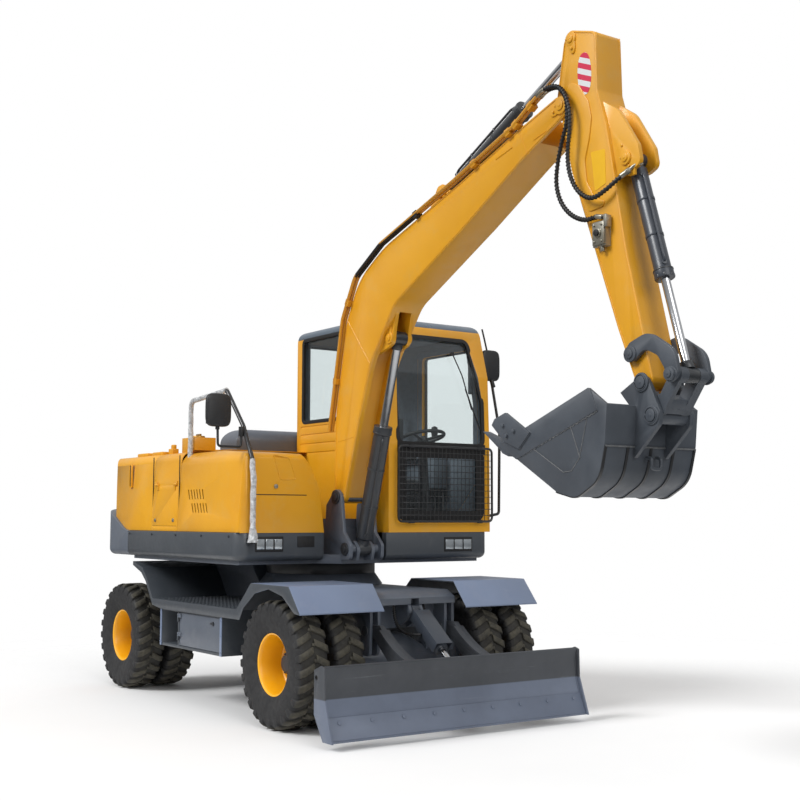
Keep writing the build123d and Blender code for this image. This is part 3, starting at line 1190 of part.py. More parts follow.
for label, side in (("left", 1), ("right", -1)):
    for place, x in (("front", FRONT_X), ("rear", REAR_X)):
        write(f"tyres_{place}_{label}", *tyres(x, side))
        write(f"rim_{place}_{label}", rim(x, side))
    write(f"knuckle_{label}", knuckle(side))
    write(f"side_step_{label}", side_step(side))
    write(f"tool_box_door_{label}", tool_box_door(side))
    write(f"skirt_{label}", skirt(side))
write("front_axle", front_axle())
write("rear_axle", rear_axle())
write("drive_line", *drive_line())
write("chassis_frame", chassis_frame())
write("slew_ring", slew_ring())
write("blade", blade())
write("platform", platform())
write("counterweight", counterweight())
write("body_cover", body_cover())
write("tank_box", tank_box())
write("side_cover", side_cover())
write("engine_hood", engine_hood())
write("engine_block", engine_block())
write("engine_dome", engine_dome())
write("cab_shell", cab_shell())
write("cab_roof", cab_roof())
write("cab_glass", *cab_glass())
write("cab_door", cab_door())
write("door_glass", door_glass())
write("seat", *seat())
write("console", console())
write("handrail", handrail())
write("right_mirror", right_mirror())
write("left_mirror", left_mirror())
write("windscreen_guard", windscreen_guard())
write("boom", boom())
write("boom_pipes", boom_pipes())
write("bucket_cylinder_hose", hose(HOSE_TO_CYLINDER, HOSE_R))
write("arm_valve_hose", hose(HOSE_TO_VALVE, HOSE_R))
write("blade_hose_left", blade_hose(1))
write("blade_hose_right", blade_hose(-1))
write("arm", arm())
write("guide_links", guide_links())
write("h_link", h_link())
write("bucket", bucket())
CYLINDERS = [
    ("boom_cylinder", BOOM_CYL_BASE, BOOM_CYL_EYE, BOOM_CYL, PIN_R),
    ("arm_cylinder", ARM_CYL_BASE, ARM_CYL_EYE, ARM_CYL, PIN_R),
    ("bucket_cylinder", BUCKET_CYL_BASE, LINK_PIN, BUCKET_CYL, 26),
    ("blade_cylinder", BLADE_CYL_BASE, BLADE_CYL_EYE, BLADE_CYL, BLADE_PIN_R),
]
for name, base, eye, sizes, pin_radius in CYLINDERS:
    barrel, rod = pinned_cylinder(base, eye, sizes, pin_radius)
    if name == "blade_cylinder":
        barrel = fuse(barrel, *cylinder_guard())
    write(f"{name}_barrel", barrel)
    write(f"{name}_rod", rod)
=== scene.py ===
import json
from math import cos, pi, radians, sin

import bmesh
import bpy
from mathutils import Matrix, Vector, noise


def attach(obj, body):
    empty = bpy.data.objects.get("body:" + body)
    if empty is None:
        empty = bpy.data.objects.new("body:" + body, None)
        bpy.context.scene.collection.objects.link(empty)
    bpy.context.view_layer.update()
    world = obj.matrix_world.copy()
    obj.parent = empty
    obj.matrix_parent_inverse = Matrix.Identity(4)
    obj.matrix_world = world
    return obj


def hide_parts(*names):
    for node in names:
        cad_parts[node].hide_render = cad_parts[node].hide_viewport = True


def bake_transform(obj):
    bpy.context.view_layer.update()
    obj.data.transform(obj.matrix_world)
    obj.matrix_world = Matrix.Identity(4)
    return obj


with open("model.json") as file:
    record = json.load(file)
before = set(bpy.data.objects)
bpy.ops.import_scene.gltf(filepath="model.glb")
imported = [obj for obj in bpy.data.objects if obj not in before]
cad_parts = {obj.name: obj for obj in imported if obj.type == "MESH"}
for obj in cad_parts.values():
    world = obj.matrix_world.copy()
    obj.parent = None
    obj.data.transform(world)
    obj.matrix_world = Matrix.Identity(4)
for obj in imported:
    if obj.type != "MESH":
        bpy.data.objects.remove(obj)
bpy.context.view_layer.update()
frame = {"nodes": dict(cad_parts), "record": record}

NODES = frame["nodes"]
NODE_BODY = {n: b for b, ns in frame["record"]["behaviour"]["bodies"].items() for n in ns}
NODE_SLOT = {s["node"]: s["material_slot"] for s in frame["record"]["subparts"]}

# Sizes are in millimetres from the middle of the wheelbase, as in the part's source
ORIGIN_X = 1285.0
FRONT_X = 1285.0
REAR_X = -1285.0
TYRE_R = 430.0
BOOM_Y = -100
SIDES = (("left", 1), ("right", -1))


def at(x, y, z):
    """A place in the frame, in metres."""
    return Vector(((x - ORIGIN_X) / 1000, y / 1000, z / 1000))


# ---- Camera ----

CAMERA_AT = Vector((7.4652, -5.1087, 1.4104))
CAMERA_YAW = radians(145.246)
CAMERA_PITCH = radians(5.340)
CAMERA_ROLL = radians(0.106)
CAMERA_LENS = 56.497


def make_camera():
    """The camera stands low, ahead and to the right of the machine, and looks a little upwards."""
    ahead = Vector((cos(CAMERA_YAW) * cos(CAMERA_PITCH), sin(CAMERA_YAW) * cos(CAMERA_PITCH), sin(CAMERA_PITCH)))
    level = Vector((sin(CAMERA_YAW), -cos(CAMERA_YAW), 0))
    above = level.cross(ahead)
    right = level * cos(CAMERA_ROLL) + above * sin(CAMERA_ROLL)
    up = above * cos(CAMERA_ROLL) - level * sin(CAMERA_ROLL)
    data = bpy.data.cameras.new("camera")
    data.lens = CAMERA_LENS
    data.sensor_width = 36.0
    data.clip_end = 200
    camera = bpy.data.objects.new("camera", data)
    turn = Matrix((right, up, -ahead)).transposed().to_4x4()
    camera.matrix_world = Matrix.Translation(CAMERA_AT) @ turn
    bpy.context.scene.collection.objects.link(camera)
    bpy.context.scene.camera = camera


make_camera()


# ---- Materials ----

class Nodes:
    """A node tree with short ways to add nodes to it."""

    def __init__(self, tree):
        self.tree = tree

    def put(self, node, values):
        """Give a node's inputs their constant values or links."""
        for key, value in values.items():
            socket = node.inputs[key]
            if isinstance(value, bpy.types.NodeSocket):
                self.tree.links.new(value, socket)
            else:
                socket.default_value = (*value, 1.0) if socket.type == "RGBA" and len(value) == 3 else value

    def node(self, kind, inputs=None, **settings):
        made = self.tree.nodes.new("ShaderNode" + kind)
        for key, value in settings.items():
            setattr(made, key, value)
        self.put(made, inputs or {})
        return made

    def ramp(self, source, low, high, start=0.0, end=1.0):
        return self.node("MapRange", {"From Min": low, "From Max": high, "To Min": start, "To Max": end,
                                      "Value": source}).outputs["Result"]

    def maths(self, operation, first, second=0.0):
        return self.node("Math", {0: first, 1: second}, operation=operation).outputs[0]

    def blended(self, fac, first, second):
        """One shader's output mixed with another's."""
        return self.node("MixShader", {0: fac, 1: first.outputs[0], 2: second.outputs[0]}).outputs[0]


class Shader(Nodes):
    """A material's node tree, from the place on the object to its Principled BSDF."""

    def __init__(self, name):
        self.material = bpy.data.materials.new(name)
        self.material.use_nodes = True
        super().__init__(self.material.node_tree)
        self.bsdf = self.tree.nodes["Principled BSDF"]
        self.place = self.node("TexCoord").outputs["Object"]

    def noise(self, scale, detail=4.0, roughness=0.55, stretch=None):
        place = self.place
        if stretch:
            place = self.node("Mapping", {"Scale": stretch, "Vector": place}).outputs["Vector"]
        return self.node("TexNoise", {"Scale": scale, "Detail": detail, "Roughness": roughness,
                                      "Vector": place}).outputs["Fac"]

    def mix(self, fac, first, second):
        """A colour between two; each is a colour or a socket."""
        return self.node("Mix", {0: fac, 6: first, 7: second}, data_type="RGBA").outputs[2]

    def drift(self, scale, detail, first, second):
        """A slow change of tone between two colours."""
        return self.mix(self.ramp(self.noise(scale, detail), 0.35, 0.7), first, second)

    def axis(self, letter):
        return self.node("SeparateXYZ", {0: self.place}).outputs[letter]

    def distance(self, first, second):
        """How far a place lies from the axis across two letters."""
        squares = [self.maths("POWER", self.axis(letter), 2.0) for letter in (first, second)]
        return self.maths("POWER", self.maths("ADD", *squares), 0.5)

    def bump(self, height, strength, distance):
        made = self.node("Bump", {"Strength": strength, "Distance": distance, "Height": height})
        self.put(self.bsdf, {"Normal": made.outputs["Normal"]})

    def done(self, colour, roughness, **others):
        """Set the look's colour, roughness and other values, whose names have _ for a space."""
        self.put(self.bsdf, {"Base Color": colour, "Roughness": roughness})
        self.put(self.bsdf, {key.replace("_", " "): value for key, value in others.items()})
        return self.material


def srgb(code):
    """A display colour 0xRRGGBB in the linear values that shaders take."""
    values = []
    for shift in (16, 8, 0):
        v = (code >> shift & 255) / 255
        values.append(v / 12.92 if v <= 0.04045 else ((v + 0.055) / 1.055) ** 2.4)
    return tuple(values)


def paint(name, colour, dark, dust, roughness=0.36):
    """Sprayed enamel: a faint orange peel, a slow drift of tone, and a film of dust in soft patches."""
    s = Shader(name)
    patches = s.ramp(s.noise(5.0, 8.0, 0.68), 0.52, 0.8, 0.0, 0.38)
    s.bump(s.noise(240.0, 2.0), 0.1, 0.0005)
    return s.done(s.mix(patches, s.drift(1.3, 3.0, srgb(colour), srgb(dark)), srgb(dust)),
                  s.ramp(s.noise(11.0, 6.0), 0.3, 0.75, roughness - 0.06, roughness + 0.14), Coat_Weight=0.25,
                  Coat_Roughness=0.18)


def plain(name, colour, roughness, scale=14.0, metallic=0.0, other=None):
    """An even surface between two tones, the second a darker one of the first unless given."""
    s = Shader(name)
    second = srgb(other) if other else tuple(v * 0.82 for v in srgb(colour))
    return s.done(s.drift(scale * 0.4, 5.0, srgb(colour), second),
                  s.ramp(s.noise(scale), 0.3, 0.7, roughness - 0.05, roughness + 0.08), Metallic=metallic)


def tyre_material(name):
    """Black rubber, dusty olive where the tread has run, with fine grain."""
    s = Shader(name)
    # The wheel's own axis runs along Y through the piece's origin
    worn = s.ramp(s.distance("X", "Z"), 0.402, 0.424)
    dusty = s.maths("MULTIPLY", worn, s.ramp(s.noise(16.0, 8.0, 0.7), 0.3, 0.62, 0.25, 1.0))
    s.bump(s.noise(320.0, 4.0), 0.3, 0.0012)
    return s.done(s.mix(dusty, s.drift(7.0, 6.0, srgb(0x161618), srgb(0x212122)), srgb(0x504C40)),
                  s.ramp(s.noise(30.0), 0.3, 0.7, 0.62, 0.85))


def worn_plate(s, tone, rubbed, noise, reach, roughness, grain):
    """Finish a painted plate with rubbed streaks and small chips."""
    streaks = s.ramp(noise, *reach)
    s.bump(s.noise(grain, 6.0), 0.16, 0.0012)
    return s.done(s.mix(streaks, tone, srgb(rubbed)), s.ramp(s.noise(9.0, 6.0), 0.3, 0.75, *roughness))


def steel_plate(name, colour, dark, scratch):
    s = Shader(name)
    return worn_plate(s, s.drift(2.2, 4.0, srgb(colour), srgb(dark)), scratch,
                      s.noise(6.0, 8.0, 0.7, stretch=(1.0, 6.0, 0.6)), (0.6, 0.82, 0.0, 0.5), (0.36, 0.6), 90.0)


def blade_paint(name):
    """Worn grey paint with rubbed streaks; the lower plate, which faces up, is painted lighter as painted light."""
    s = Shader(name)
    # Painted light: below about 0.3 m the plate takes the lighter tone of a face lit from above
    low = s.ramp(s.axis("Z"), 0.294, 0.300, 1.0, 0.0)
    tone = s.mix(low, s.drift(2.2, 4.0, srgb(0x404348), srgb(0x36393E)),
                 s.drift(2.2, 4.0, srgb(0x646D7E), srgb(0x586070)))
    return worn_plate(s, tone, 0x80848A, s.noise(5.0, 8.0, 0.72, stretch=(1.0, 0.35, 5.0)), (0.6, 0.8, 0.0, 0.45),
                      (0.38, 0.62), 70.0)


def stripes_material(name):
    """Red and white bands across a marker."""
    s = Shader(name)
    run = s.maths("ADD", s.maths("MULTIPLY", s.axis("X"), 0.41), s.maths("MULTIPLY", s.axis("Z"), 0.91))
    band = s.ramp(s.maths("FRACT", s.maths("MULTIPLY", run, 16.2)), 0.49, 0.51)
    return s.done(s.mix(band, srgb(0xD63254), srgb(0xE2E6E8)), s.ramp(s.noise(20.0), 0.3, 0.7, 0.25, 0.4))


def glass_material(name):
    """Thin clear glass with a faint green tint; it reflects as glass does and lets the light straight through."""
    s = Shader(name)
    clear = s.node("BsdfTransparent", {"Color": (0.94, 0.965, 0.965)})
    shine = s.node("BsdfGlossy", {"Color": (0.9, 0.95, 1.0), "Roughness": s.ramp(s.noise(3.0), 0.3, 0.7, 0.02, 0.06)})
    edge = s.maths("POWER", s.node("LayerWeight").outputs["Facing"], 5.0)
    s.put(s.tree.nodes["Material Output"], {"Surface": s.blended(s.ramp(edge, 0.0, 1.0, 0.05, 0.7), clear, shine)})
    return s.material


def film_material(name):
    """Clear bubble wrap, milky where it is bunched."""
    s = Shader(name)
    bubbles = s.node("TexVoronoi", {"Scale": 90.0, "Vector": s.place}, feature="F1")
    s.bump(bubbles.outputs["Distance"], 0.8, 0.004)
    return s.done((0.86, 0.88, 0.9), 0.25, Alpha=s.ramp(s.noise(38.0, 6.0), 0.35, 0.7, 0.35, 0.8))


def weave_material(name):
    """Dark cloth with crossing threads."""
    s = Shader(name)
    threads = s.maths("ADD", *[s.maths("SINE", s.maths("MULTIPLY", s.axis(letter), 2600.0)) for letter in "YZ"])
    s.bump(threads, 0.4, 0.0006)
    return s.done(s.mix(s.ramp(threads, -1.5, 1.5), srgb(0x26272A), srgb(0x424346)), 0.9, Sheen_Weight=0.3)


def hose_material(name):
    """Rubber hose under a spiral wrap."""
    s = Shader(name)
    s.bump(s.noise(300.0), 0.25, 0.001)
    return s.done(s.drift(20.0, 4.0, srgb(0x18181A), srgb(0x28282A)), 0.45)


# Name, maker and its values: every material slot of the part, then the looks that only this script has
LOOKS = (
    ("body_paint", paint, 0xE6A61E, 0xDC9A18, 0xCEAA62),
    ("rim_paint", paint, 0xF6B214, 0xE8A00E, 0xDEB05A),
    ("grey_paint", paint, 0x5C636E, 0x525862, 0x787A7C, 0.42),
    ("black_paint", paint, 0x242528, 0x1B1C1E, 0x3C3C3C),
    ("cylinder_paint", paint, 0x3A404A, 0x30363F, 0x54565A),
    ("bucket_paint", steel_plate, 0x4C525A, 0x3C4148, 0x6C6F72),
    ("tyre", tyre_material),
    ("chrome", plain, 0xCED0D3, 0.14, 14.0, 1.0, 0xBCBEC2),
    ("glass", glass_material),
    ("plastic", plain, 0x222325, 0.5, 60.0),
    ("seat_cloth", weave_material),
    ("hose_rubber", hose_material),
    ("cast", plain, 0x545658, 0.6),
    ("skirt_grey", paint, 0x42474D, 0x3A3F45, 0x5C5E60, 0.4),
    ("fender_grey", paint, 0x7886A0, 0x6C7A94, 0x8890A0),
    ("roof_grey", paint, 0x5C6A78, 0x505E6C, 0x6E767E, 0.3),
    ("barrel_black", paint, 0x323539, 0x2A2D31, 0x4A4A4A),
    ("pipe_paint", paint, 0xD89820, 0xC6861E, 0xCEA44E, 0.34),
    ("blade_paint", blade_paint),
    ("rubber", plain, 0x181819, 0.6, 40.0),
    ("cabin_grey", plain, 0x68707A, 0.6, 60.0),
    ("label_yellow", plain, 0xF4BE14, 0.4, 14.0, 0.0, 0xECB410),
    ("marker_stripes", stripes_material),
    ("lamp_glass", plain, 0xC4CACE, 0.12, 14.0, 0.6, 0x969EA4),
    ("brass", plain, 0xAA8442, 0.35, 14.0, 0.8),
    ("zinc", plain, 0xA8A69C, 0.35, 14.0, 0.8, 0x928C7A),
    ("dark_steel", plain, 0x46484C, 0.45, 14.0, 0.6),
    ("weld_steel", plain, 0x7C7E80, 0.45, 60.0, 0.5, 0x585A5C),
    ("film", film_material),
)
MATERIALS = {name: make(name, *values) for name, make, *values in LOOKS}


# ---- Making pieces ----

def shade(mesh, angle=38):
    for face in mesh.polygons:
        face.use_smooth = True
    mesh.set_sharp_from_angle(angle=radians(angle))


def mesh_from(name, bm):
    mesh = bpy.data.meshes.new(name)
    bm.to_mesh(mesh)
    bm.free()
    return mesh


def linked(name, data):
    obj = bpy.data.objects.new(name, data)
    bpy.context.scene.collection.objects.link(obj)
    return obj


def place_piece(obj, body, slot, look=None, stands_for=()):
    """Give a piece its material, and let it ride on its body if it has one."""
    obj.data.materials.clear()
    obj.data.materials.append(MATERIALS[look or slot])
    if body:
        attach(obj, body)
    if stands_for:
        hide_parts(*stands_for)
    return obj


def evaluated(obj):
    """The object's mesh with its modifiers, or its curve as a mesh."""
    return bpy.data.meshes.new_from_object(obj.evaluated_get(bpy.context.evaluated_depsgraph_get()))


def apply_modifiers(obj):
    made = evaluated(obj)
    obj.modifiers.clear()
    obj.data = made


def bevel_edges(obj, width, segments, angle, loop_slide=True):
    """Break the edges sharper than an angle, by a width in millimetres."""
    if width:
        bevel = obj.modifiers.new("bevel", "BEVEL")
        bevel.width = width / 1000
        bevel.segments = segments
        bevel.limit_method = "ANGLE"
        bevel.angle_limit = radians(angle)
        bevel.loop_slide = loop_slide
        apply_modifiers(obj)


def bevelled(node, width, segments=2, look=None):
    """A copy of a CAD node with its sharp edges broken, which then stands for the node."""
    bm = bmesh.new()
    bm.from_mesh(NODES[node].data)
    bmesh.ops.remove_doubles(bm, verts=bm.verts, dist=2e-5)
    bmesh.ops.dissolve_limit(bm, angle_limit=radians(1.0), verts=bm.verts, edges=bm.edges)
    obj = linked(f"{node}_skin", mesh_from(node, bm))
    bevel_edges(obj, width, segments, 28, loop_slide=False)
    shade(obj.data)
    return place_piece(obj, NODE_BODY[node], NODE_SLOT[node], look, [node])


def repaint(obj, look, within):
    """The faces whose middle lies within a space, given in millimetres, get another material."""
    obj.data.materials.append(MATERIALS[look])
    for face in obj.data.polygons:
        x, y, z = face.center
        if within(x * 1000 + ORIGIN_X, y * 1000, z * 1000):
            face.material_index = 1


def circle(sides):
    """Cosine and sine of each of so many equal steps round a circle."""
    return [(cos(2 * pi * k / sides), sin(2 * pi * k / sides)) for k in range(sides)]


def ring(centre, across, other, radius, sides):
    return [centre + (across * c + other * s) * radius for c, s in circle(sides)]


def bent(value, power):
    """A power of a value that keeps its sign, which turns a circle into a box with round corners."""
    return abs(value) ** power * (1 if value >= 0 else -1)


def along_line(line, i):
    """The direction of a line at one of its points."""
    return (line[min(i + 1, len(line) - 1)] - line[max(i - 1, 0)]).normalized()


def frames(line):
    """Each point of a line with the two directions across it."""
    across = (line[1] - line[0]).orthogonal().normalized()
    made = []
    for i, here in enumerate(line):
        ahead = along_line(line, i)
        across = (across - ahead * across.dot(ahead)).normalized()
        made.append((here, across.copy(), ahead.cross(across)))
    return made


def finer(line, step):
    """The line with points added, so that none lie further apart than about a step."""
    fine = []
    for near, far in zip(line, line[1:]):
        steps = max(1, int((far - near).length / step))
        fine += [near.lerp(far, k / steps) for k in range(steps)]
    return fine + [line[-1]]


class Build:
    """Collects simple closed forms, given in millimetres, into one piece."""

    def __init__(self, name, body, slot, look=None):
        self.name, self.body, self.slot, self.look = name, body, slot, look
        self.bm = bmesh.new()

    def loft(self, rings):
        """Skin rings of points (in metres) in order, and leave both ends open."""
        rows = [[self.bm.verts.new(p) for p in ring] for ring in rings]
        for near, far in zip(rows, rows[1:]):
            for k in range(len(near)):
                after = (k + 1) % len(near)
                self.bm.faces.new((near[k], near[after], far[after], far[k]))
        return rows

    def closed(self, rings):
        """Skin rings with a face over each end."""
        rows = self.loft(rings)
        self.bm.faces.new(rows[0][::-1])
        self.bm.faces.new(rows[-1])

    def hoop(self, rings):
        """Skin rings whose last one meets the first."""
        self.loft(rings + [rings[0]])

    def prism(self, axis, points, low, high):
        """An outline drawn across one axis and run along it: y takes (x, z), x takes (y, z), z takes (x, y)."""
        make = {"y": lambda u, v, w: at(u, w, v), "x": lambda u, v, w: at(w, u, v), "z": at}[axis]
        self.closed([[make(u, v, w) for u, v in points] for w in (low, high)])

    def box(self, x0, x1, y0, y1, z0, z1):
        self.prism("z", [(x0, y0), (x1, y0), (x1, y1), (x0, y1)], z0, z1)

    def crossed(self, start, end):
        """Two points in metres, and the two directions across the line between them."""
        start, end = at(*start), at(*end)
        along = (end - start).normalized()
        across = along.orthogonal().normalized()
        return start, end, across, along.cross(across)

    def bar(self, start, end, radius, sides, end_radius=None):
        """A round or six-sided bar between two points in millimetres."""
        start, end, across, other = self.crossed(start, end)
        self.closed([ring(centre, across, other, r / 1000, sides)
                     for centre, r in ((start, radius), (end, end_radius or radius))])

    def sleeve(self, start, end, inner, outer, sides=40):
        """A ring with an open bore between two points in millimetres."""
        start, end, across, other = self.crossed(start, end)
        corners = ((start, inner), (start, outer), (end, outer), (end, inner))
        self.hoop([[centre + (across * c + other * s) * r / 1000 for centre, r in corners] for c, s in circle(sides)])

    def bolt(self, point, direction, size, height, washer=True):
        """A hexagon head on a washer, its foot at the point."""
        normal = Vector(direction).normalized()
        step = lambda d: tuple(Vector(point) + normal * d)
        if washer:
            self.bar(step(-1), step(2), size * 1.25, 20)
        self.bar(step(1), step(height), size, 6)

    def lathe(self, profile, centre, sides, axis="y"):
        """A closed profile of (radius, offset) turned about an axis through the centre."""
        turned = {"y": lambda r, d, c, s: (r * c, d, r * s), "z": lambda r, d, c, s: (r * c, r * s, d)}[axis]
        self.hoop([[at(*(a + b for a, b in zip(centre, turned(r, d, c, s)))) for r, d in profile]
                   for c, s in circle(sides)])

    def tube(self, points, radius, sides, bend=0.0):
        """A round tube along a line of points in millimetres, its corners eased."""
        line = [Vector(p) for p in points]
        self.closed([[at(*p) for p in ring(here, across, other, radius, sides)]
                     for here, across, other in frames(eased(line, bend) if bend else line)])

    def done(self, bevel=0.0, segments=2, stands_for=(), angle=35, smooth=38):
        bmesh.ops.remove_doubles(self.bm, verts=self.bm.verts, dist=1e-6)
        bmesh.ops.recalc_face_normals(self.bm, faces=self.bm.faces)
        obj = linked(self.name, mesh_from(self.name, self.bm))
        bevel_edges(obj, bevel, segments, angle)
        shade(obj.data, smooth)
        return place_piece(obj, self.body, self.slot, self.look, stands_for)


CORNER_STEPS = 6


def corner_arc(here, back, ahead, reach):
    """The curve that cuts a corner off at a reach along its two sides."""
    first, last = here + back.normalized() * reach, here + ahead.normalized() * reach
    shares = [k / CORNER_STEPS for k in range(CORNER_STEPS + 1)]
    return [first * (1 - t) ** 2 + here * 2 * t * (1 - t) + last * t ** 2 for t in shares]


def eased(points, radius):
    """The line with each inner corner turned into an arc-like curve."""
    line = [points[0]]
    for before, here, after in zip(points, points[1:], points[2:]):
        back, ahead = before - here, after - here
        line += corner_arc(here, back, ahead, min(radius, back.length * 0.45, ahead.length * 0.45))
    return line + [points[-1]]


def rounded(points):
    """An outline whose corners (u, v, radius) are turned into short arcs."""
    line = []
    for i, corner in enumerate(points):
        if len(corner) < 3:
            line.append(corner)
            continue
        here = Vector(corner[:2])
        back = Vector(points[i - 1][:2]) - here
        ahead = Vector(points[(i + 1) % len(points)][:2]) - here
        half = back.angle(ahead) / 2
        reach = min(corner[2] / max(sin(half) / cos(half), 1e-6), back.length * 0.48, ahead.length * 0.48)
        line += [tuple(p) for p in corner_arc(here, back, ahead, reach)]
    return line


# Every CAD node that shows as it is gets its slot's material
for name, obj in NODES.items():
    obj.data.materials.clear()
    obj.data.materials.append(MATERIALS[NODE_SLOT[name]])


# ---- Tyres and rims ----

TYRE_W = 232.0
WHEEL_Y = (874.0, 598.0)
LUGS = 25
# Carcass section: radius, offset from the tyre's middle
CARCASS = [(206, -84), (214, -92), (232, -97), (262, -108), (310, -116), (352, -115), (386, -109), (404, -97),
           (409, -70), (410, 0), (409, 70), (404, 97), (386, 109), (352, 115), (310, 116), (262, 108), (232, 97),
           (214, 92), (206, 84)]
# One chevron block: across the tread, lean ahead and half thickness in shares of the pitch, height
LUG = ((8, 0.46, 0.24, 19), (40, 0.30, 0.25, 20), (74, 0.13, 0.25, 20), (98, 0.02, 0.26, 19), (118, -0.02, 0.27, 14),
       (140, -0.03, 0.25, 7), (164, -0.03, 0.20, 3))
# The blocks keep this far inside the tyre's own radius and half width
TREAD_TOP, TREAD_SIDE = 426.3, 115.8


def tread_point(angle, across, lift):
    """A place on the tread: angle round the wheel, distance across from the middle, height over the carcass."""
    side = 1 if across > 0 else -1
    u = abs(across)
    if u <= 92:
        r, y, nr, ny = 410.0 - 6 * (u / 92) ** 3, u, 1.0, 0.0
    elif u <= 122:
        t = (u - 92) / 30
        r, y, nr, ny = 404 - 12 * t, 92 + 17 * t, 0.86 - 0.3 * t, 0.5 + 0.3 * t
    else:
        t = (u - 122) / 46
        r, y, nr, ny = 392 - 44 * t, 109 + 5 * t, 0.42 - 0.4 * t, 0.9
    r = min(r + nr * lift, TREAD_TOP)
    y = min(y + ny * lift, TREAD_SIDE)
    return Vector((r * cos(angle) / 1000, side * y / 1000, r * sin(angle) / 1000))


def add_block(bm, rings):
    """A block on the tread, open towards the carcass."""
    rows = [[bm.verts.new(tread_point(*place)) for place in ring] for ring in rings]
    for near, far in zip(rows, rows[1:]):
        for k in range(3):
            bm.faces.new((near[k], near[k + 1], far[k + 1], far[k]))
    bm.faces.new(rows[0])
    bm.faces.new(rows[-1])


def add_lug(bm, angle, side):
    """A slanted bar from near the middle over the shoulder and a little down the side."""
    step = 2 * pi / LUGS
    rings = []
    for across, lean, half, height in LUG:
        middle, foot, top = angle + lean * step, half * 1.12 * step, half * 0.86 * step
        rings.append([(middle + a, side * across, lift)
                      for a, lift in ((-foot, -5), (-top, height), (top, height), (foot, -5))])
    add_block(bm, rings)


def tyre_mesh():
    """One tyre about its own centre: carcass, two rows of chevron blocks and small blocks between them."""
    bm = bmesh.new()
    rows = [[bm.verts.new((r * c / 1000, y / 1000, r * s / 1000)) for r, y in CARCASS] for c, s in circle(100)]
    for near, far in zip(rows, rows[1:] + rows[:1]):
        for k in range(len(CARCASS) - 1):
            bm.faces.new((near[k], near[k + 1], far[k + 1], far[k]))
        bm.faces.new((near[-1], near[0], far[0], far[-1]))
    pitch = 2 * pi / LUGS
    half = 0.13 * pitch
    for i in range(LUGS):
        start = -pi / 2 + i * pitch
        add_lug(bm, start, 1)
        add_lug(bm, start + pitch / 2, -1)
        nub = [(start + 0.8 * pitch + half * share, lift) for share, lift in ((-1, -4), (-0.8, 13), (0.8, 13), (1, -4))]
        add_block(bm, [[(a, across, lift) for a, lift in nub] for across in (-10, 10)])
    bmesh.ops.recalc_face_normals(bm, faces=bm.faces)
    obj = linked("tyre_work", mesh_from("tyre", bm))
    bevel_edges(obj, 3.0, 1, 40)
    mesh = obj.data
    bpy.data.objects.remove(obj)
    return mesh


def make_wheels():
    single = tyre_mesh()
    for label, side in SIDES:
        bm = bmesh.new()
        done = 0
        for y in WHEEL_Y:
            bm.from_mesh(single)
            bm.verts.ensure_lookup_table()
            for v in bm.verts[done:]:
                v.co.y = side * (v.co.y + y / 1000)
            done = len(bm.verts)
        if side < 0:
            bmesh.ops.reverse_faces(bm, faces=bm.faces)
        pair = mesh_from(f"tyre_pair_{label}", bm)
        shade(pair, 42)
        for place, x in (("front", FRONT_X), ("rear", REAR_X)):
            obj = linked(f"tread_{place}_{label}", pair.copy())
            obj.location = at(x, 0, TYRE_R)
            place_piece(obj, f"wheel_{place}_{label}", "tyre", stands_for=[f"tyres_{place}_{label}"])
            make_rim(f"wheel_{place}_{label}", f"rim_{place}_{label}", x, side)


def make_rim(body, node, x, side):
    """Stepped dish rim with its studs, and the dark hub."""
    outer, inner = WHEEL_Y
    disc = outer - TYRE_W / 2 - 22
    turn = lambda b, profile, sides: b.lathe([(r, side * d) for r, d in profile], (x, 0, TYRE_R), sides=sides)
    b = Build(f"{body}_rim", body, "rim_paint")
    turn(b, [(198, outer + 82), (203, outer + 84), (231, outer + 94), (232, outer + 90), (226, outer + 86),
             (203, outer + 80), (203, inner - 84), (231, inner - 94), (190, inner - 88), (190, disc - 12),
             (92, disc - 12), (92, disc + 6), (148, disc + 6), (158, disc + 16), (166, disc + 48), (176, disc + 56),
             (182, disc + 110), (189, outer + 60)], 72)
    b.done(bevel=2.0, stands_for=[node], angle=28)
    b = Build(f"{body}_hub", body, "rim_paint", "dark_steel")
    turn(b, [(40, disc - 126), (86, disc - 126), (92, disc - 10), (112, disc + 6), (112, disc + 20), (84, disc + 26),
             (80, disc + 96), (70, disc + 108), (58, disc + 112), (56, disc + 128), (40, disc + 130), (0.5, disc + 130),
             (0.5, disc + 100), (42.5, disc + 100)], 40)
    for count, shift, reach, depth, size, height in ((8, 0.5, 132, 8, 13, 26), (6, 0, 70, 106, 7, 8)):
        for k in range(count):
            a = 2 * pi * (k + shift) / count
            b.bolt((x + reach * cos(a), side * (disc + depth), TYRE_R + reach * sin(a)), (0, side, 0), size, height)
    b.done(bevel=1.2, segments=1)


make_wheels()


# ---- Undercarriage ----

BOX_FRONT = FRONT_X - 702
BOX_REAR = REAR_X + 814
STEP_TOP = 770
TREAD_PITCH = 30


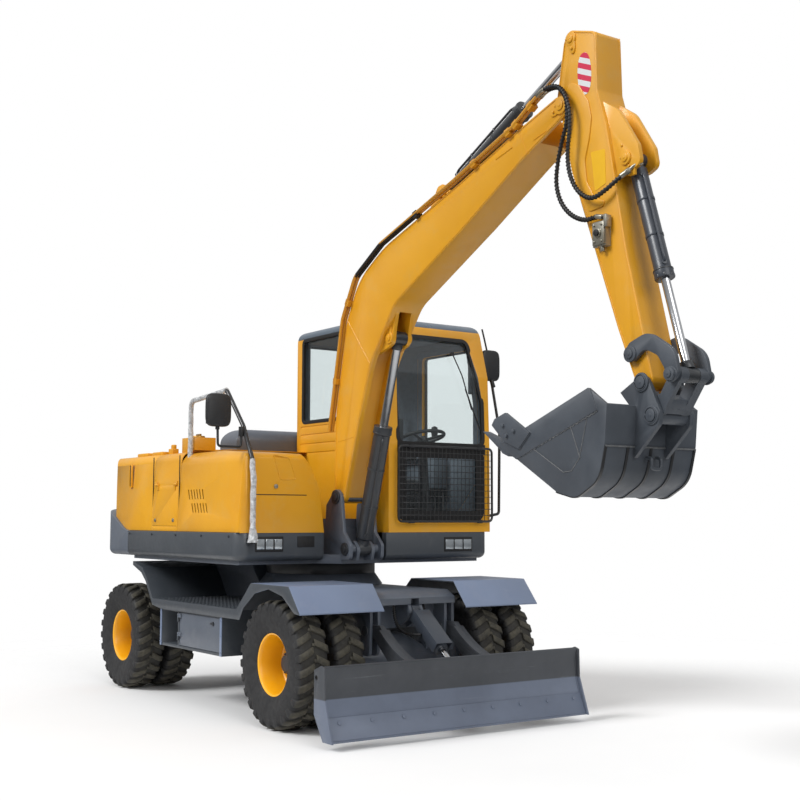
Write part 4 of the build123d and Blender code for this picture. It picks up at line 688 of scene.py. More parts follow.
def make_side(label, side):
    """Dress one side: fender and step sheets, raised tread plate, box door furniture."""
    repaint(bevelled(f"side_step_{label}", 3, look="fender_grey"), "skirt_grey", lambda x, y, z: x < FRONT_X - 260)
    b = Build(f"step_tread_{label}", "undercarriage", "grey_paint", "skirt_grey")
    for i in range(46):
        for j in range(20):
            x = -560 + i * TREAD_PITCH + (15 if j % 2 else 0)
            y = 385 + j * TREAD_PITCH
            if REAR_X + 700 <= x <= FRONT_X - 470:
                slant = 8 if (i + j) % 2 else -8
                b.prism("z", [(x - 9, side * (y - slant - 2)), (x, side * y - 2.5), (x + 9, side * (y + slant + 2)),
                              (x, side * y + 2.5)], STEP_TOP, STEP_TOP + 2.2)
    b.done()
    b = Build(f"box_lock_{label}", f"tool_box_door_{label}", "grey_paint", "dark_steel")
    b.bar((430, side * 974, 640), (430, side * 985, 640), 15, 24)
    b.box(398, 430, side * 984 - 4, side * 984 + 4, 634, 646)
    b.done(bevel=1.5)
    b = Build(f"box_rim_{label}", "undercarriage", "grey_paint", "fender_grey")
    for x0, x1 in ((BOX_REAR, BOX_REAR + 25), (BOX_FRONT - 30, BOX_FRONT)):
        b.box(x0, x1, *sorted((side * 981, side * 987)), 420, 700)
    for x in (BOX_FRONT - 15, BOX_REAR + 12):
        for z in (450, 560, 670):
            b.bolt((x, side * 986, z), (0, side, 0), 7, 6)
    b.done(bevel=1.5)


for node, width in (("chassis_frame", 5), ("front_axle", 4), ("rear_axle", 4), ("drive_line", 3), ("knuckle_left", 4),
                    ("knuckle_right", 4), ("slew_ring", 3), ("tool_box_door_left", 3), ("tool_box_door_right", 3)):
    bevelled(node, width)
for label, side in SIDES:
    make_side(label, side)


# ---- Dozer blade ----

def make_blade():
    bevelled("blade", 3, look="blade_paint")
    for node in ("blade_cylinder_barrel", "blade_cylinder_rod"):
        bevelled(node, 2)
    b = Build("blade_welds", "blade", "grey_paint", "blade_paint")
    for side in (-1, 1):
        # Weld beads along the end plates' inner edges, and the bosses of the arms' pivot
        b.tube([(FRONT_X + x, side * 1034, z) for x, z in ((796, 470), (788, 400), (790, 300), (832, 160), (880, 60))],
               4, 8)
        for y in (side * 262, side * 366):
            b.bar((FRONT_X + 215, y - 4, 640), (FRONT_X + 215, y + 4, 640), 34, 28)
    # Bolted wear edge along the foot
    b.prism("y", [(FRONT_X + x, z) for x, z in ((822, 190), (829, 192), (884, 62), (876, 58))], -1036, 1036)
    for i in range(9):
        y = -960 + i * 240
        b.bar((FRONT_X + 842, y, 158), (FRONT_X + 850, y, 161), 13, 20)
    b.done(bevel=1.0)


make_blade()


# ---- House ----

# Node, width of its broken edges, look
HOUSE_NODES = (("counterweight", 6, None), ("skirt_left", 4, "skirt_grey"), ("skirt_right", 4, "skirt_grey"),
               ("platform", 4, None), ("body_cover", 4, None), ("side_cover", 2.5, None), ("tank_box", 4, None),
               ("engine_hood", 4, None), ("engine_dome", 5, None), ("engine_block", 6, None))


def boxes(name, body, slot, look, bevel, places, segments=2):
    """A piece made of boxes; each place is x0, x1, y0, y1, z0, z1."""
    b = Build(name, body, slot, look)
    for place in places:
        b.box(*place)
    b.done(bevel=bevel, segments=segments)


def make_house():
    for node, width, look in HOUSE_NODES:
        bevelled(node, width, look=look)
    # Painted shade: a dark sheet behind the louvres and a dark strip in the groove across the tank's front; also the
    # seals in the joints between the covers
    boxes("house_seals_and_painted_shade", "house", "plastic", "rubber", 0.8,
          [(-10, 480, -1008, -1004, 1420, 1640), (-576, -573, -1024, -1016, 1310, 1880),
           (-93, -90, -1024, -1016, 1310, 1880), (930, 932, -913, -499, 1565, 1571),
           (-990, 925, -1036, -1030, 1297, 1303)], 1)
    # Lids and latches on the edge of the roof
    boxes("house_lids", "engine_hood", "body_paint", None, 8,
          [(-1096, -891, -940, -850, 1900, 1932), (-792, -600, -940, -850, 1900, 1932)], 3)
    boxes("house_latch", "house", "body_paint", None, 6,
          [(-560, -480, -905, -850, 1895, 1952), (-545, -495, -890, -862, 1950, 1985)], 3)
    b = Build("hood_handle", "engine_hood", "plastic", "rubber")
    b.box(-1034, -1008, -1028, -1018, 1660, 1830)
    b.bar((-1021, -1022, 1690), (-1021, -1030, 1690), 8, 16)
    b.done(bevel=3)
    boxes("hood_handle_rim", "engine_hood", "body_paint", None, 2.5,
          [(-1040, -1002, -1033, -1016, z, z + 10) for z in (1650, 1830)]
          + [(x, x + 8, -1033, -1016, 1650, 1840) for x in (-1042, -1008)])
    # Filler cap with its grip
    b = Build("filler_cap", "house", "plastic", "brass")
    b.lathe([(2, 2037), (46, 2037), (50, 2028), (50, 2022), (2, 2022)], (-145, -840, 0), axis="z", sides=36)
    b.box(-180, -110, -848, -832, 2036, 2052)
    b.done(bevel=2)
    # Lamps and the blank plate in the skirt's front
    for side, x, y0, y1, z0, z1 in (("right", 930, -913, -687, 1167, 1274), ("left", 1100, 606, 874, 1154, 1263)):
        boxes(f"skirt_lamp_{side}_bezel", "house", "plastic", "rubber", 5, [(x - 12, x + 5, y0, y1, z0, z1)], 3)
        span = (y1 - y0 - 46) / 3
        starts = [y0 + 12 + i * (span + 11) for i in range(3)]
        boxes(f"skirt_lamp_{side}_lens", "house", "glass", "lamp_glass", 2.5,
              [(x + 3, x + 9, y, y + span, z0 + 18, z1 - 18) for y in starts])
    boxes("skirt_plate", "house", "plastic", "rubber", 1.5, [(929, 933, -572, -431, 1196, 1275)])
    # Pressed step in the tank's front, with its lock
    b = Build("tank_front_bead", "house", "body_paint")
    corners = [(-770, 1851), (-644, 1834), (-585, 1680), (-717, 1676), (-770, 1851)]
    b.tube([(929, y, z) for y, z in corners], 5, 8, bend=24)
    b.done()
    b = Build("tank_lock", "house", "chrome", "zinc")
    b.bar((928, -753, 1628), (942, -753, 1628), 15, 24)
    b.box(940, 946, -757, -749, 1618, 1638)
    b.done(bevel=1.5)
    # The side cover's two key locks
    b = Build("side_cover_locks", "side_cover", "chrome", "zinc")
    for x in (-500, -170):
        b.bar((x, -1030, 1385), (x, -1038, 1385), 14, 24)
        b.box(x - 3, x + 3, -1040, -1036, 1377, 1393)
    b.done(bevel=1.2)
    # Bolt heads along the skirts and on the boom's bracket
    b = Build("house_bolts", "house", "grey_paint", "dark_steel")
    for x in (-960, -520, -80, 360, 800):
        for side in (-1, 1):
            b.bolt((x, side * 1050, 1275), (0, side, 0), 8, 7)
    for y in (-230, -190, -10, 30):
        for z in (1120, 1145):
            b.bolt((1002, y, z), (1, 0, 0), 9, 8)
    b.done(bevel=0.8, segments=1)
    # Ends of the boom's foot pin and of the cylinder's base pin
    b = Build("house_pins", "house", "grey_paint", "dark_steel")
    for x, z, r in ((928, 1557, 52), (1055, 1183, 46)):
        for side in (-1, 1):
            y = BOOM_Y + side * 147
            b.bar((x, y, z), (x, y + side * 12, z), r, 32)
            b.bar((x, y + side * 12, z), (x, y + side * 20, z), r * 0.55, 28)
            b.bolt((x + r * 0.7, y + side * 12, z), (0, side, 0), 7, 7, False)
    b.done(bevel=2)


make_house()


# ---- Rails, mirrors and guard ----

# The handrail's own line, and the film wound on it
RAIL = [(-37, -960, 1790), (-37, -960, 2290), (560, -960, 2330), (825, -960, 2052), (965, -960, 1815),
        (985, -960, 1660), (985, -960, 1235)]
FILM_R = 17
FILM_SIDES = 22


def wrapped(name, points, seed, fold=5.0, bag=0.0):
    """Thin bubble film wound round the rail: an uneven sleeve, bunched out at one end by the bag's size."""
    line = finer(eased([Vector(p) for p in points], 60), 9)
    rings = []
    for i, (here, across, other) in enumerate(frames(line)):
        swell = bag * max(0.0, (i / (len(line) - 1) - 0.8) / 0.2) ** 1.5
        ring = []
        for k, (c, s) in enumerate(circle(FILM_SIDES)):
            wave = noise.noise(Vector((c * 1.6 + seed, s * 1.6, i * 0.16)))
            wind = 0.5 + 0.5 * sin(2 * pi * k / FILM_SIDES + i * 0.32)
            r = FILM_R + fold * (0.8 + wave) * (0.55 + 0.45 * wind) + swell * (0.9 + 0.5 * wave)
            ring.append(at(*(here + (across * c + other * s) * r)))
        rings.append(ring)
    b = Build(name, "house", "glass", "film")
    b.closed(rings)
    b.done()


def make_rails():
    NODES["handrail"].data.materials[0] = MATERIALS["black_paint"]
    wrapped("rail_film_front", RAIL[4:], 3.0, bag=20)
    wrapped("rail_film_top", RAIL[:3], 9.0, fold=4.0)
    b = Build("rail_fixings", "house", "black_paint")
    b.box(959, 1003, -984, -936, 1232, 1262)
    for z in (1238, 1252):
        b.bolt((1000, -960, z), (1, 0, 0), 7, 7)
    b.box(-60, -14, -990, -930, 1786, 1798)
    for x in (-52, -22):
        b.bolt((x, -985, 1794), (0, 0, 1), 6, 6)
    b.done(bevel=1.5)


# Share of a mirror's depth, share of its width and height
MIRROR_SECTIONS = ((0.0, 0.86), (0.12, 0.97), (0.3, 1.0), (0.62, 1.0), (0.85, 0.9), (1.0, 0.62))


def mirror_head(side, x0, x1, y0, y1, z0, z1, arm):
    """Shell of a mirror with rounded corners and its ball mount."""
    b = Build(f"mirror_{side}_head", "house", "plastic")
    b.closed([[at(x1 + (x0 - x1) * t, (y0 + y1) / 2 + (y1 - y0) / 2 * shrink * bent(c, 0.45),
                  (z0 + z1) / 2 + (z1 - z0) / 2 * shrink * bent(s, 0.45)) for c, s in circle(40)]
              for t, shrink in MIRROR_SECTIONS])
    for points, radius in arm:
        b.tube(points, radius, 14, bend=26)
    b.done(bevel=1.5, stands_for=[f"{side}_mirror"])


def make_mirrors():
    mirror_head("right", 840, 890, -1276, -1085, 2036, 2269,
                [([(845, -986, 2028), (850, -990, 1902), (860, -1176, 1902), (860, -1180, 2040)], 9),
                 ([(846, -988, 1978), (846, -988, 2046)], 19), ([(860, -1181, 2018), (860, -1181, 2052)], 15)])
    mirror_head("left", 960, 1010, 1062, 1239, 2492, 2739,
                [([(1060, 1053, 1420), (1042, 1188, 1440), (1042, 1199, 2090), (1002, 1150, 2500)], 11),
                 ([(1014, 1164, 2440), (1003, 1151, 2500)], 17),
                 ([(988, 1120, 2728), (984, 1104, 2800), (978, 1078, 2905)], 7)])
    for side, *glass in (("right", 839, 843, -1262, -1098, 2055, 2250), ("left", 959, 963, 1076, 1226, 2510, 2722)):
        boxes(f"mirror_{side}_glass", "house", "chrome", None, 8, [glass], 3)


def make_guard():
    """Frame of round bar with a fine square mesh, on four clamps."""
    b = Build("guard_mesh", "house", "black_paint")
    x, y0, y1, z0, z1 = 1140, 160, 1040, 1380, 1940
    b.tube([(x, y0, (z0 + z1) / 2), (x, y0, z1), (x, y1, z1), (x, y1, z0), (x, y0, z0), (x, y0, (z0 + z1) / 2)], 9, 12,
           bend=40)
    for i in range(1, 24):
        y = y0 + (y1 - y0) * i / 24
        b.bar((x - 2, y, z0), (x - 2, y, z1), 2.6, 6)
    for i in range(1, 12):
        z = z0 + (z1 - z0) * i / 12
        b.bar((x + 2, y0, z), (x + 2, y1, z), 2.6, 6)
    for y in (y0 + 120, y1 - 120):
        for z in (z0, z1):
            b.bar((1101, y, z), (x, y, z), 9, 14)
            b.box(x - 12, x + 8, y - 22, y + 22, z - 13, z + 13)
            b.bolt((x + 7, y - 12, z), (1, 0, 0), 5, 1.2, False)
    b.done(bevel=1.0, segments=1, stands_for=["windscreen_guard"])


make_rails()
make_mirrors()
make_guard()


# ---- Cab ----

CAB_PROFILE = [(960, 2930), (1080, 2500), (1100, 1960), (1100, 1300)]


def front_x(z):
    """How far ahead the cab's front lies at a height."""
    for (xa, za), (xb, zb) in zip(CAB_PROFILE, CAB_PROFILE[1:]):
        if zb <= z <= za:
            return xa + (xb - xa) * (za - z) / (za - zb)
    return 1100.0


def on_front(y, z, out):
    """A place in millimetres at a distance out from the cab's front."""
    return front_x(z) + out, y, z


def gasket(b, outline, place, width, high=5):
    """A closed strip along an outline; place(u, v, out) puts it on its wall, and it reaches into that."""
    line = [Vector(p) for p in rounded(outline)]
    middle = sum(line, Vector((0, 0))) / len(line)
    rings = []
    for i, here in enumerate(line):
        along = (line[(i + 1) % len(line)] - line[i - 1]).normalized()
        out = Vector((along.y, -along.x))
        if out.dot(here - middle) < 0:
            out = -out
        a, c = here + out * width * 0.45, here - out * width * 0.55
        section = ((a, high - 2), (a, -16), (c, -16), (c, high - 2), ((a + c) / 2, high))
        rings.append([at(*place(*spot, lift)) for spot, lift in section])
    b.hoop(rings)


def make_cab():
    repaint(bevelled("cab_shell", 5), "cabin_grey",
            lambda x, y, z: -238 < x < front_x(z) - 12 and 111 < y < 1039 and 1328 < z < 2880)
    bevelled("cab_roof", 8, segments=3, look="roof_grey")
    repaint(bevelled("cab_door", 4), "cabin_grey", lambda x, y, z: y < 1012)
    b = Build("cab_seals", "house", "plastic", "rubber")
    gasket(b, [(180, 1960, 60), (180, 2790, 90), (900, 2790, 60), (990, 2300, 60), (990, 1960, 60)], on_front, 30)
    gasket(b, [(210, 1420, 40), (210, 1900, 40), (960, 1900, 40), (960, 1420, 40)], on_front, 76, high=3)
    b.prism("x", [(176, 1896), (1004, 1896), (1004, 1972), (176, 1972)], 1090, 1104)
    gasket(b, [(-160, 2180, 40), (-160, 2860, 40), (850, 2860, 60), (940, 2440, 40), (940, 2180, 40)],
           lambda u, v, out: (u, 100 - out, v), 28)
    gasket(b, [(190, 2100, 40), (190, 2830, 40), (960, 2830, 40), (960, 2100, 40)],
           lambda u, v, out: (-250 - out, u, v), 28)
    b.done()
    b = Build("door_seals", "cab_door", "plastic", "rubber")
    gasket(b, [(260, 1900, 40), (260, 2740, 40), (860, 2740, 40), (950, 2300, 30), (950, 1900, 40)],
           lambda u, v, out: (u, 1050 + out, v), 26)
    b.done()
    b = Build("door_handle", "cab_door", "plastic")
    b.box(780, 900, 1049, 1056, 1760, 1820)
    b.tube([(800, 1054, 1790), (802, 1076, 1790), (880, 1076, 1790), (884, 1054, 1790)], 7, 12, bend=8)
    b.done(bevel=2)

    # Wiper: arm, blade and motor cover
    b = Build("wiper", "house", "plastic")
    b.tube([on_front(734, 2674, 10), on_front(782, 2500, 22), on_front(872, 2240, 14)], 5, 10, bend=30)
    b.tube([on_front(820, 2400, 9), on_front(880, 2250, 12), on_front(957, 2088, 9)], 6, 8, bend=30)
    b.bar(on_front(734, 2674, -6), on_front(734, 2674, 16), 15, 24)
    b.done(bevel=1)

    # Ledges inside and out: sun visor, dash, side boxes, floor mat, rear shelf, headlining
    boxes("cab_lining", "house", "plastic", "cabin_grey", 9,
          [(-200, 880, 149, 1001, 2838, 2862), (-202, -150, 150, 1000, 1346, 2080), (-150, 560, 150, 300, 1346, 1900),
           (120, 620, 152, 330, 1890, 1950), (120, 620, 870, 1000, 1640, 1900), (1010, 1048, 150, 1000, 1900, 1962)]
          + [(x, x + 30, y, y + 38, z0, z1) for y in (146, 968)
             for x, z0, z1 in ((930, 2380, 2830), (-206, 2080, 2840))], 3)
    boxes("cab_mat", "house", "plastic", "rubber", 1, [(-190, 1044, 150, 1000, 1345, 1352)]
          + [(620, 1030, y, y + 10, 1351, 1356) for y in range(180, 980, 40)], 1)

    # Steering column with its wheel, levers, pedals, gauge pod
    b = Build("steering_wheel", "house", "plastic")
    centre = Vector((855, 580, 2030))
    tilt = Vector((-0.25, 0, 1)).normalized()
    across = Vector((0, 1, 0))
    along = across.cross(tilt)
    rim = ring(centre, across, along, 170, 48)
    b.hoop([[at(*p) for p in ring(spot, (spot - centre).normalized(), tilt, 14, 12)] for spot in rim])
    for k in (4, 20, 36):
        b.bar(tuple(centre - tilt * 26), tuple(rim[k]), 11, 12, 8)
    b.bar(tuple(centre - tilt * 40), tuple(centre + tilt * 2), 44, 28, 38)
    b.bar((898, 580, 1346), tuple(centre - tilt * 30), 44, 20, 30)
    b.bar((898, 580, 1346), (898, 580, 1362), 76, 28)
    b.done(bevel=3, stands_for=["console"])
    b = Build("cab_controls", "house", "plastic")
    for y in (240, 930):
        b.bar((520, y, 1890), (535, y, 2050), 8, 12)
        b.lathe([(1, 2150), (24, 2140), (30, 2110), (24, 2070), (18, 2040), (1, 2036)], (540, y, 0), axis="z", sides=20)
        b.lathe([(8, 1990), (40, 1902), (44, 1892), (1, 1890)], (528, y, 0), axis="z", sides=24)
    for y in (480, 560, 640, 720):
        b.bar((950, y, 1350), (930, y, 1600), 7, 10)
        b.box(905, 965, y - 24, y + 24, 1440, 1456)
    b.box(940, 1000, 160, 300, 1990, 2150)
    b.bar((980, 230, 1940), (975, 230, 2000), 14, 12)
    b.done(bevel=4)


SEAT_Y = 590


def cushion(name, sections):
    """A padded form of level sections with round corners: their middle, height, half sizes and draw."""
    b = Build(name, "house", "seat_cloth")
    b.closed([[at(x + bent(c, 0.5) * deep * pull, SEAT_Y + bent(s, 0.5) * wide * pull, z) for c, s in circle(28)]
              for x, z, deep, wide, pull in sections])
    obj = b.done()
    smooth = obj.modifiers.new("smooth", "SUBSURF")
    smooth.levels = 2
    smooth.render_levels = 2
    apply_modifiers(obj)
    shade(obj.data, 70)
    place_piece(obj, "house", "seat_cloth")
    return obj


# Height and draw of the cushion's sections: flat underneath, crowned on top, a sewn line round its upper edge
CUSHION = ((1604, 0.93), (1622, 0.99), (1656, 1.0), (1683, 0.985), (1690, 0.955), (1696, 0.962), (1709, 0.9),
           (1717, 0.62), (1719, 0.2))
# Share of the way up the leaning back rest, draw, half thickness
BACKREST = ((0.0, 0.72, 60), (0.03, 0.93, 62), (0.16, 1.0, 66), (0.3, 0.97, 60), (0.34, 0.95, 57), (0.38, 0.97, 60),
            (0.62, 0.98, 60), (0.8, 0.93, 56), (0.93, 0.84, 50), (0.985, 0.66, 40), (1.0, 0.3, 20))


def make_seat():
    base = cushion("seat_cushion", [(392, z, 246, 246, pull) for z, pull in CUSHION])
    cushion("seat_back", [(132 - 78 * t, 1722 + 676 * t, half, 226, pull) for t, pull, half in BACKREST])
    b = Build("seat_frame", "house", "plastic")
    b.prism("y", [(150, 1345), (600, 1345), (575, 1420), (560, 1600), (190, 1600), (170, 1420)], 400, 780)
    for z in (1400, 1450, 1500, 1550):
        b.box(142, 612, 392, 788, z, z + 16)
    b.done(bevel=5)
    for label, y in (("right", 360), ("left", 820)):
        boxes(f"armrest_{label}", "house", "plastic", "rubber", 14,
              [(130, 420, y - 24, y + 24, 1868, 1916), (130, 165, y - 14, y + 14, 1760, 1870)], 3)
    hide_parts("seat")


make_cab()
make_seat()


# ---- Boom, arm and bucket ----

# Outlines of the side plates: X, Z, radius
BOOM_SIDE = [(862, 1567), (872, 2158, 900), (1020, 2850, 260), (1180, 3130, 500), (1500, 3310, 900), (2355, 3574),
             (2950, 3775, 400), (3335, 3893, 60), (3431, 3851, 55), (3395, 3765, 60), (3017, 3590, 600),
             (2458, 3293, 500), (1640, 2890, 260), (1340, 2510, 500), (1186, 2100), (990, 1527, 60), (868, 1501, 54)]
ARM_SIDE = [(3373, 4207, 50), (3415, 4277, 50), (3640, 4200, 40), (3650, 3850, 60), (3720, 3620, 60), (3860, 2900),
            (4048, 2143, 50), (4002, 2077, 50), (3932, 2113, 50), (3790, 2450), (3545, 3124), (3430, 3425, 60),
            (3345, 3781, 40), (3303, 3851, 50)]
BUCKET_SIDE = [(3047, 1831), (3194, 1754), (3549, 1550, 60), (3700, 1515, 120), (3880, 1610, 160), (3930, 1800, 160),
               (3950, 2010)]
# Pivots of the boom, arm and bucket: X, Z
BOOM_TIP = (3365, 3831)
BOOM_CYL_BASE = (1055, 1183)
BOOM_CYL_EYE = (1512, 2671)
ARM_CYL_BASE = (2127, 3584)
ARM_CYL_EYE = (3435, 4217)
BUCKET_CYL_BASE = (3847, 3407)
LINK_PIN = (4209, 2158)
GUIDE_PIN = (3912, 2294)
BUCKET_PIN = (3992, 2133)
BUCKET_LINK_PIN = (4063, 1952)


def moved_in(points, distance):
    """The outline moved inwards; it runs clockwise seen with Z up and X to the right."""
    line = []
    for i, corner in enumerate(points):
        here = Vector(corner[:2])
        first = (here - Vector(points[i - 1][:2])).normalized()
        second = (Vector(points[(i + 1) % len(points)][:2]) - here).normalized()
        a, b = Vector((first.y, -first.x)), Vector((second.y, -second.x))
        spot = here + (a + b) * (distance / (1 + a.dot(b)))
        line.append((spot.x, spot.y, *corner[2:]))
    return line


def weld(b, points, radius, wave=0.0):
    """A weld bead through points in millimetres, rippled along its length when wave is given."""
    line = [Vector(p) for p in points]
    if wave:
        line = finer(line, 7)
        for i, p in enumerate(line):
            p.z += wave * sin(i * 1.3)
            p.x += wave * 0.5 * cos(i * 0.9)
    b.tube(line, radius, 6)


def boss(b, pin, y, side, radius, height, core=0.55, bolt=True):
    """A turned boss on the end of a pin, its core raised, with the keeper's bolt beside the core."""
    x, z = pin
    b.bar((x, y, z), (x, y + side * height, z), radius, 36, radius * 0.95)
    b.bar((x, y + side * height, z), (x, y + side * (height + 7), z), radius * core, 30)
    b.bar((x, y + side * (height + 6), z), (x, y + side * (height + 9), z), radius * 0.2, 14)
    if bolt:
        b.bolt((x - radius * 0.72, y + side * height, z + 4), (0, side, 0), 6.5, 6, False)


def keeper(b, pin, y, side, towards):
    """A flat oval plate from a pin's end to its two bolts."""
    way = Vector(towards).normalized()
    across = Vector((-way.y, way.x))
    points = [Vector(pin) + way * (34 + 62 * c * (1 if c > 0 else 0.9)) + across * 30 * s for c, s in circle(28)]
    b.prism("y", points, y, y + side * 8)
    for reach in (64, 12):
        x, z = Vector(pin) + way * reach
        b.bolt((x, y + side * 8, z), (0, side, 0), 9, 9, False)


def make_boom():
    for node, width in (("boom", 5), ("boom_cylinder_barrel", 2), ("boom_cylinder_rod", 2), ("arm_cylinder_barrel", 2),
                        ("arm_cylinder_rod", 2), ("bucket_cylinder_barrel", 2), ("bucket_cylinder_rod", 2)):
        bevelled(node, width, look="barrel_black" if node in ("boom_cylinder_barrel", "arm_cylinder_barrel") else None)
    repaint(bevelled("boom_pipes", 0, look="pipe_paint"), "rubber", lambda x, y, z: 1180 < x < 1990)
    b = Build("boom_welds", "boom", "body_paint")
    edge = rounded(moved_in(BOOM_SIDE, 10))
    for y in (-220.5, 20.5):
        weld(b, [(x, y, z) for x, z in edge + edge[:1]], 4.0)
        # Joints between the plates of the side, and two short stitches near the tip
        for x0, z0, x1, z1, *bead in ((2975, 3780, 3060, 3612, 1.8), (1020, 2860, 1330, 2500, 1.8),
                                      (884, 1960, 1140, 1990, 1.8), (3117, 3684, 3257, 3716, 4.5, 0.8),
                                      (2756, 3650, 2916, 3688, 4.5, 0.8)):
            weld(b, [(x0, y, z0), (x1, y, z1)], *bead)
    b.done()
    b = Build("boom_pins", "boom", "body_paint")
    for y, side in ((-220, -1), (20, 1)):
        boss(b, BOOM_TIP, y, side, 56, 11)
    for y, side in ((-178, -1), (-22, 1)):
        boss(b, BOOM_CYL_EYE, y, side, 46, 10)
        boss(b, ARM_CYL_BASE, y, side, 44, 13)
        keeper(b, ARM_CYL_BASE, y + side, side, (0.9, -0.45))
        keeper(b, BOOM_CYL_EYE, y + side, side, (0.1, 1.0))
    keeper(b, BOOM_TIP, -220, -1, (-0.9, -0.42))
    b.done(bevel=1.5)
    # Nuts and ends of the hydraulic pipes
    b = Build("pipe_unions", "boom", "chrome", "zinc")
    for y in (-217, -245):
        b.bar((3180, y, 3934), (3222, y, 3954), 17, 6)
        b.bar((3216, y, 3951), (3246, y, 3958), 15, 20)
    b.done(bevel=1.2)


def cylinder_fittings(name, base, eye, outer, end, look, eye_radius, eye_half, lift, off):
    """Line with its ports, gland and dark eye of a cylinder; lift and off say where round the barrel the line runs."""
    base, eye = Vector(base), Vector(eye)
    length = (eye - base).length
    along = (eye - base).normalized()
    up = Vector((-along.y, along.x))
    foot = (outer - 6) / (lift ** 2 + off ** 2) ** 0.5

    def place(run, share=0.0):
        """A place so far along the cylinder, and out from its axis by a share of the line's own distance."""
        reach = lift * share
        return base.x + along.x * run + up.x * reach, BOOM_Y + off * share, base.y + along.y * run + up.y * reach

    b = Build(f"{name}_line", f"{name}_barrel", "cylinder_paint", look)
    for run in (115, end - 80):
        b.bar(place(run, foot), place(run, 1), 15, 18)
    b.tube([place(118, 1), place(140, 1.14), place(end - 110, 1.14), place(end - 82, 1)], 8, 12, bend=20)
    for run in (end * 0.35, end * 0.65):
        b.sleeve(place(run - 9), place(run + 9), outer - 4, outer + 3)
        b.bar(place(run, foot), place(run, 1.24), 9, 10)
    b.done(bevel=1.2)
    b = Build(f"{name}_gland", f"{name}_barrel", "cylinder_paint", "barrel_black")
    b.sleeve(place(end - 52), place(end - 44), outer - 4, outer + 9, 44)
    b.sleeve(place(end - 20), place(end - 2), outer - 4, outer + 9, 8)
    b.done(bevel=1.5)
    b = Build(f"{name}_eye_boss", f"{name}_rod", "cylinder_paint", "barrel_black")
    b.bar(place(length - eye_radius - 34), place(length - eye_radius * 0.8), 36, 30, 42)
    x, y, z = place(length)
    b.bar((x, y - eye_half, z), (x, y + eye_half, z), eye_radius + 0.8, 48)
    x, y, z = place(length - eye_radius + 3)
    for share in (-0.6, 0.6):
        b.bolt((x, y + share * eye_half, z), (-along.x, 0, -along.y), 5, 6, False)
    b.done(bevel=2)


def make_arm():
    repaint(bevelled("arm", 4), "zinc", lambda x, y, z: y < -203 and 3640 < x < 3765 and 2920 < z < 3100)
    b = Build("arm_welds", "arm", "body_paint")
    edge = rounded(moved_in(ARM_SIDE, 9))
    for y in (-200.5, 0.5):
        weld(b, [(x, y, z) for x, z in edge + edge[:1]], 3.6)
    b.done()
    # Doubling plate round the pivot
    b = Build("arm_doubler", "arm", "body_paint")
    doubler = [(3390, 3905, 20), (3425, 3960, 60), (3503, 3920, 60), (3580, 3800, 80), (3604, 3697, 60),
               (3584, 3582, 60), (3545, 3459, 60), (3560, 3330, 60), (3622, 3226, 60), (3700, 3190, 30),
               (3690, 3160, 30), (3570, 3150, 40), (3462, 3372, 60), (3360, 3720, 60)]
    for y0, y1 in ((-207, -199), (-1, 7)):
        b.prism("y", rounded(doubler), y0, y1)
    b.done(bevel=4)
    # Marker and plate
    b = Build("arm_marker", "arm", "body_paint", "marker_stripes")
    points = [(3546 + 57 * bent(c, 0.8) - 127 * s * 0.04, 3975 + 127 * s) for c, s in circle(48)]
    b.prism("y", points, -201.8, -200)
    b.done(bevel=0.6, segments=1)
    b = Build("arm_plate", "arm", "body_paint", "label_yellow")
    b.prism("y", rounded([(3592, 3497, 10), (3707, 3491, 10), (3711, 3289, 10), (3622, 3262, 10)]), -202, -200)
    b.done(bevel=0.6, segments=1)
    b = Build("arm_pins", "arm", "body_paint")
    for y, side in ((-200, -1), (0, 1)):
        boss(b, ARM_CYL_EYE, y, side, 44, 9)
    keeper(b, ARM_CYL_EYE, -200, -1, (0.2, -0.9))
    for y, side in ((-178, -1), (-22, 1)):
        boss(b, BUCKET_CYL_BASE, y, side, 42, 11)
        for dx, dz in ((-30, 78), (24, -52)):
            b.bolt((BUCKET_CYL_BASE[0] + dx, y, BUCKET_CYL_BASE[1] + dz), (0, side, 0), 8, 7, False)
    # Ribs over the tip and a boss on the nose
    for y in (-192, -8):
        b.tube([(3640, y, 4196), (3645, y, 3870)], 4, 8)
    b.bar((4010, -100, 2080), (4026, -100, 2060), 26, 24)
    b.done(bevel=1.5)
    # Valve with its knob, plugs and elbow
    b = Build("arm_valve", "arm", "chrome", "zinc")
    b.box(3648, 3738, -252, -198, 2934, 3062)
    b.bar((3693, -252, 3000), (3693, -262, 3000), 26, 28)
    for z in (2952, 3046):
        for x in (3664, 3722):
            b.bolt((x, -252, z), (0, -1, 0), 8, 7, False)
    b.bar((3700, -226, 2934), (3704, -226, 2896), 14, 6)
    b.tube([(3706, -231, 3092), (3740, -231, 3098), (3752, -231, 3076), (3744, -231, 3040)], 10, 14, bend=16)
    b.bar((3744, -231, 3066), (3743, -231, 3046), 16, 6)
    b.done(bevel=2)
    b = Build("arm_valve_knob", "arm", "plastic", "rubber")
    b.bar((3693, -261, 3000), (3693, -272, 3000), 19, 24)
    b.done(bevel=3)
    b = Build("arm_hose_unions", "arm", "chrome", "zinc")
    b.bar((3846, -221, 3295), (3890, -189, 3329), 15, 20)
    b.tube([(3882, -195, 3322), (3908, -176, 3352), (3936, -158, 3356), (3950, -150, 3350)], 9, 14, bend=18)
    b.bar((3872, -202, 3315), (3888, -190, 3328), 18, 6)
    b.bar((3660, -232, 3103), (3712, -231, 3092), 15, 20)
    b.done(bevel=1.5)


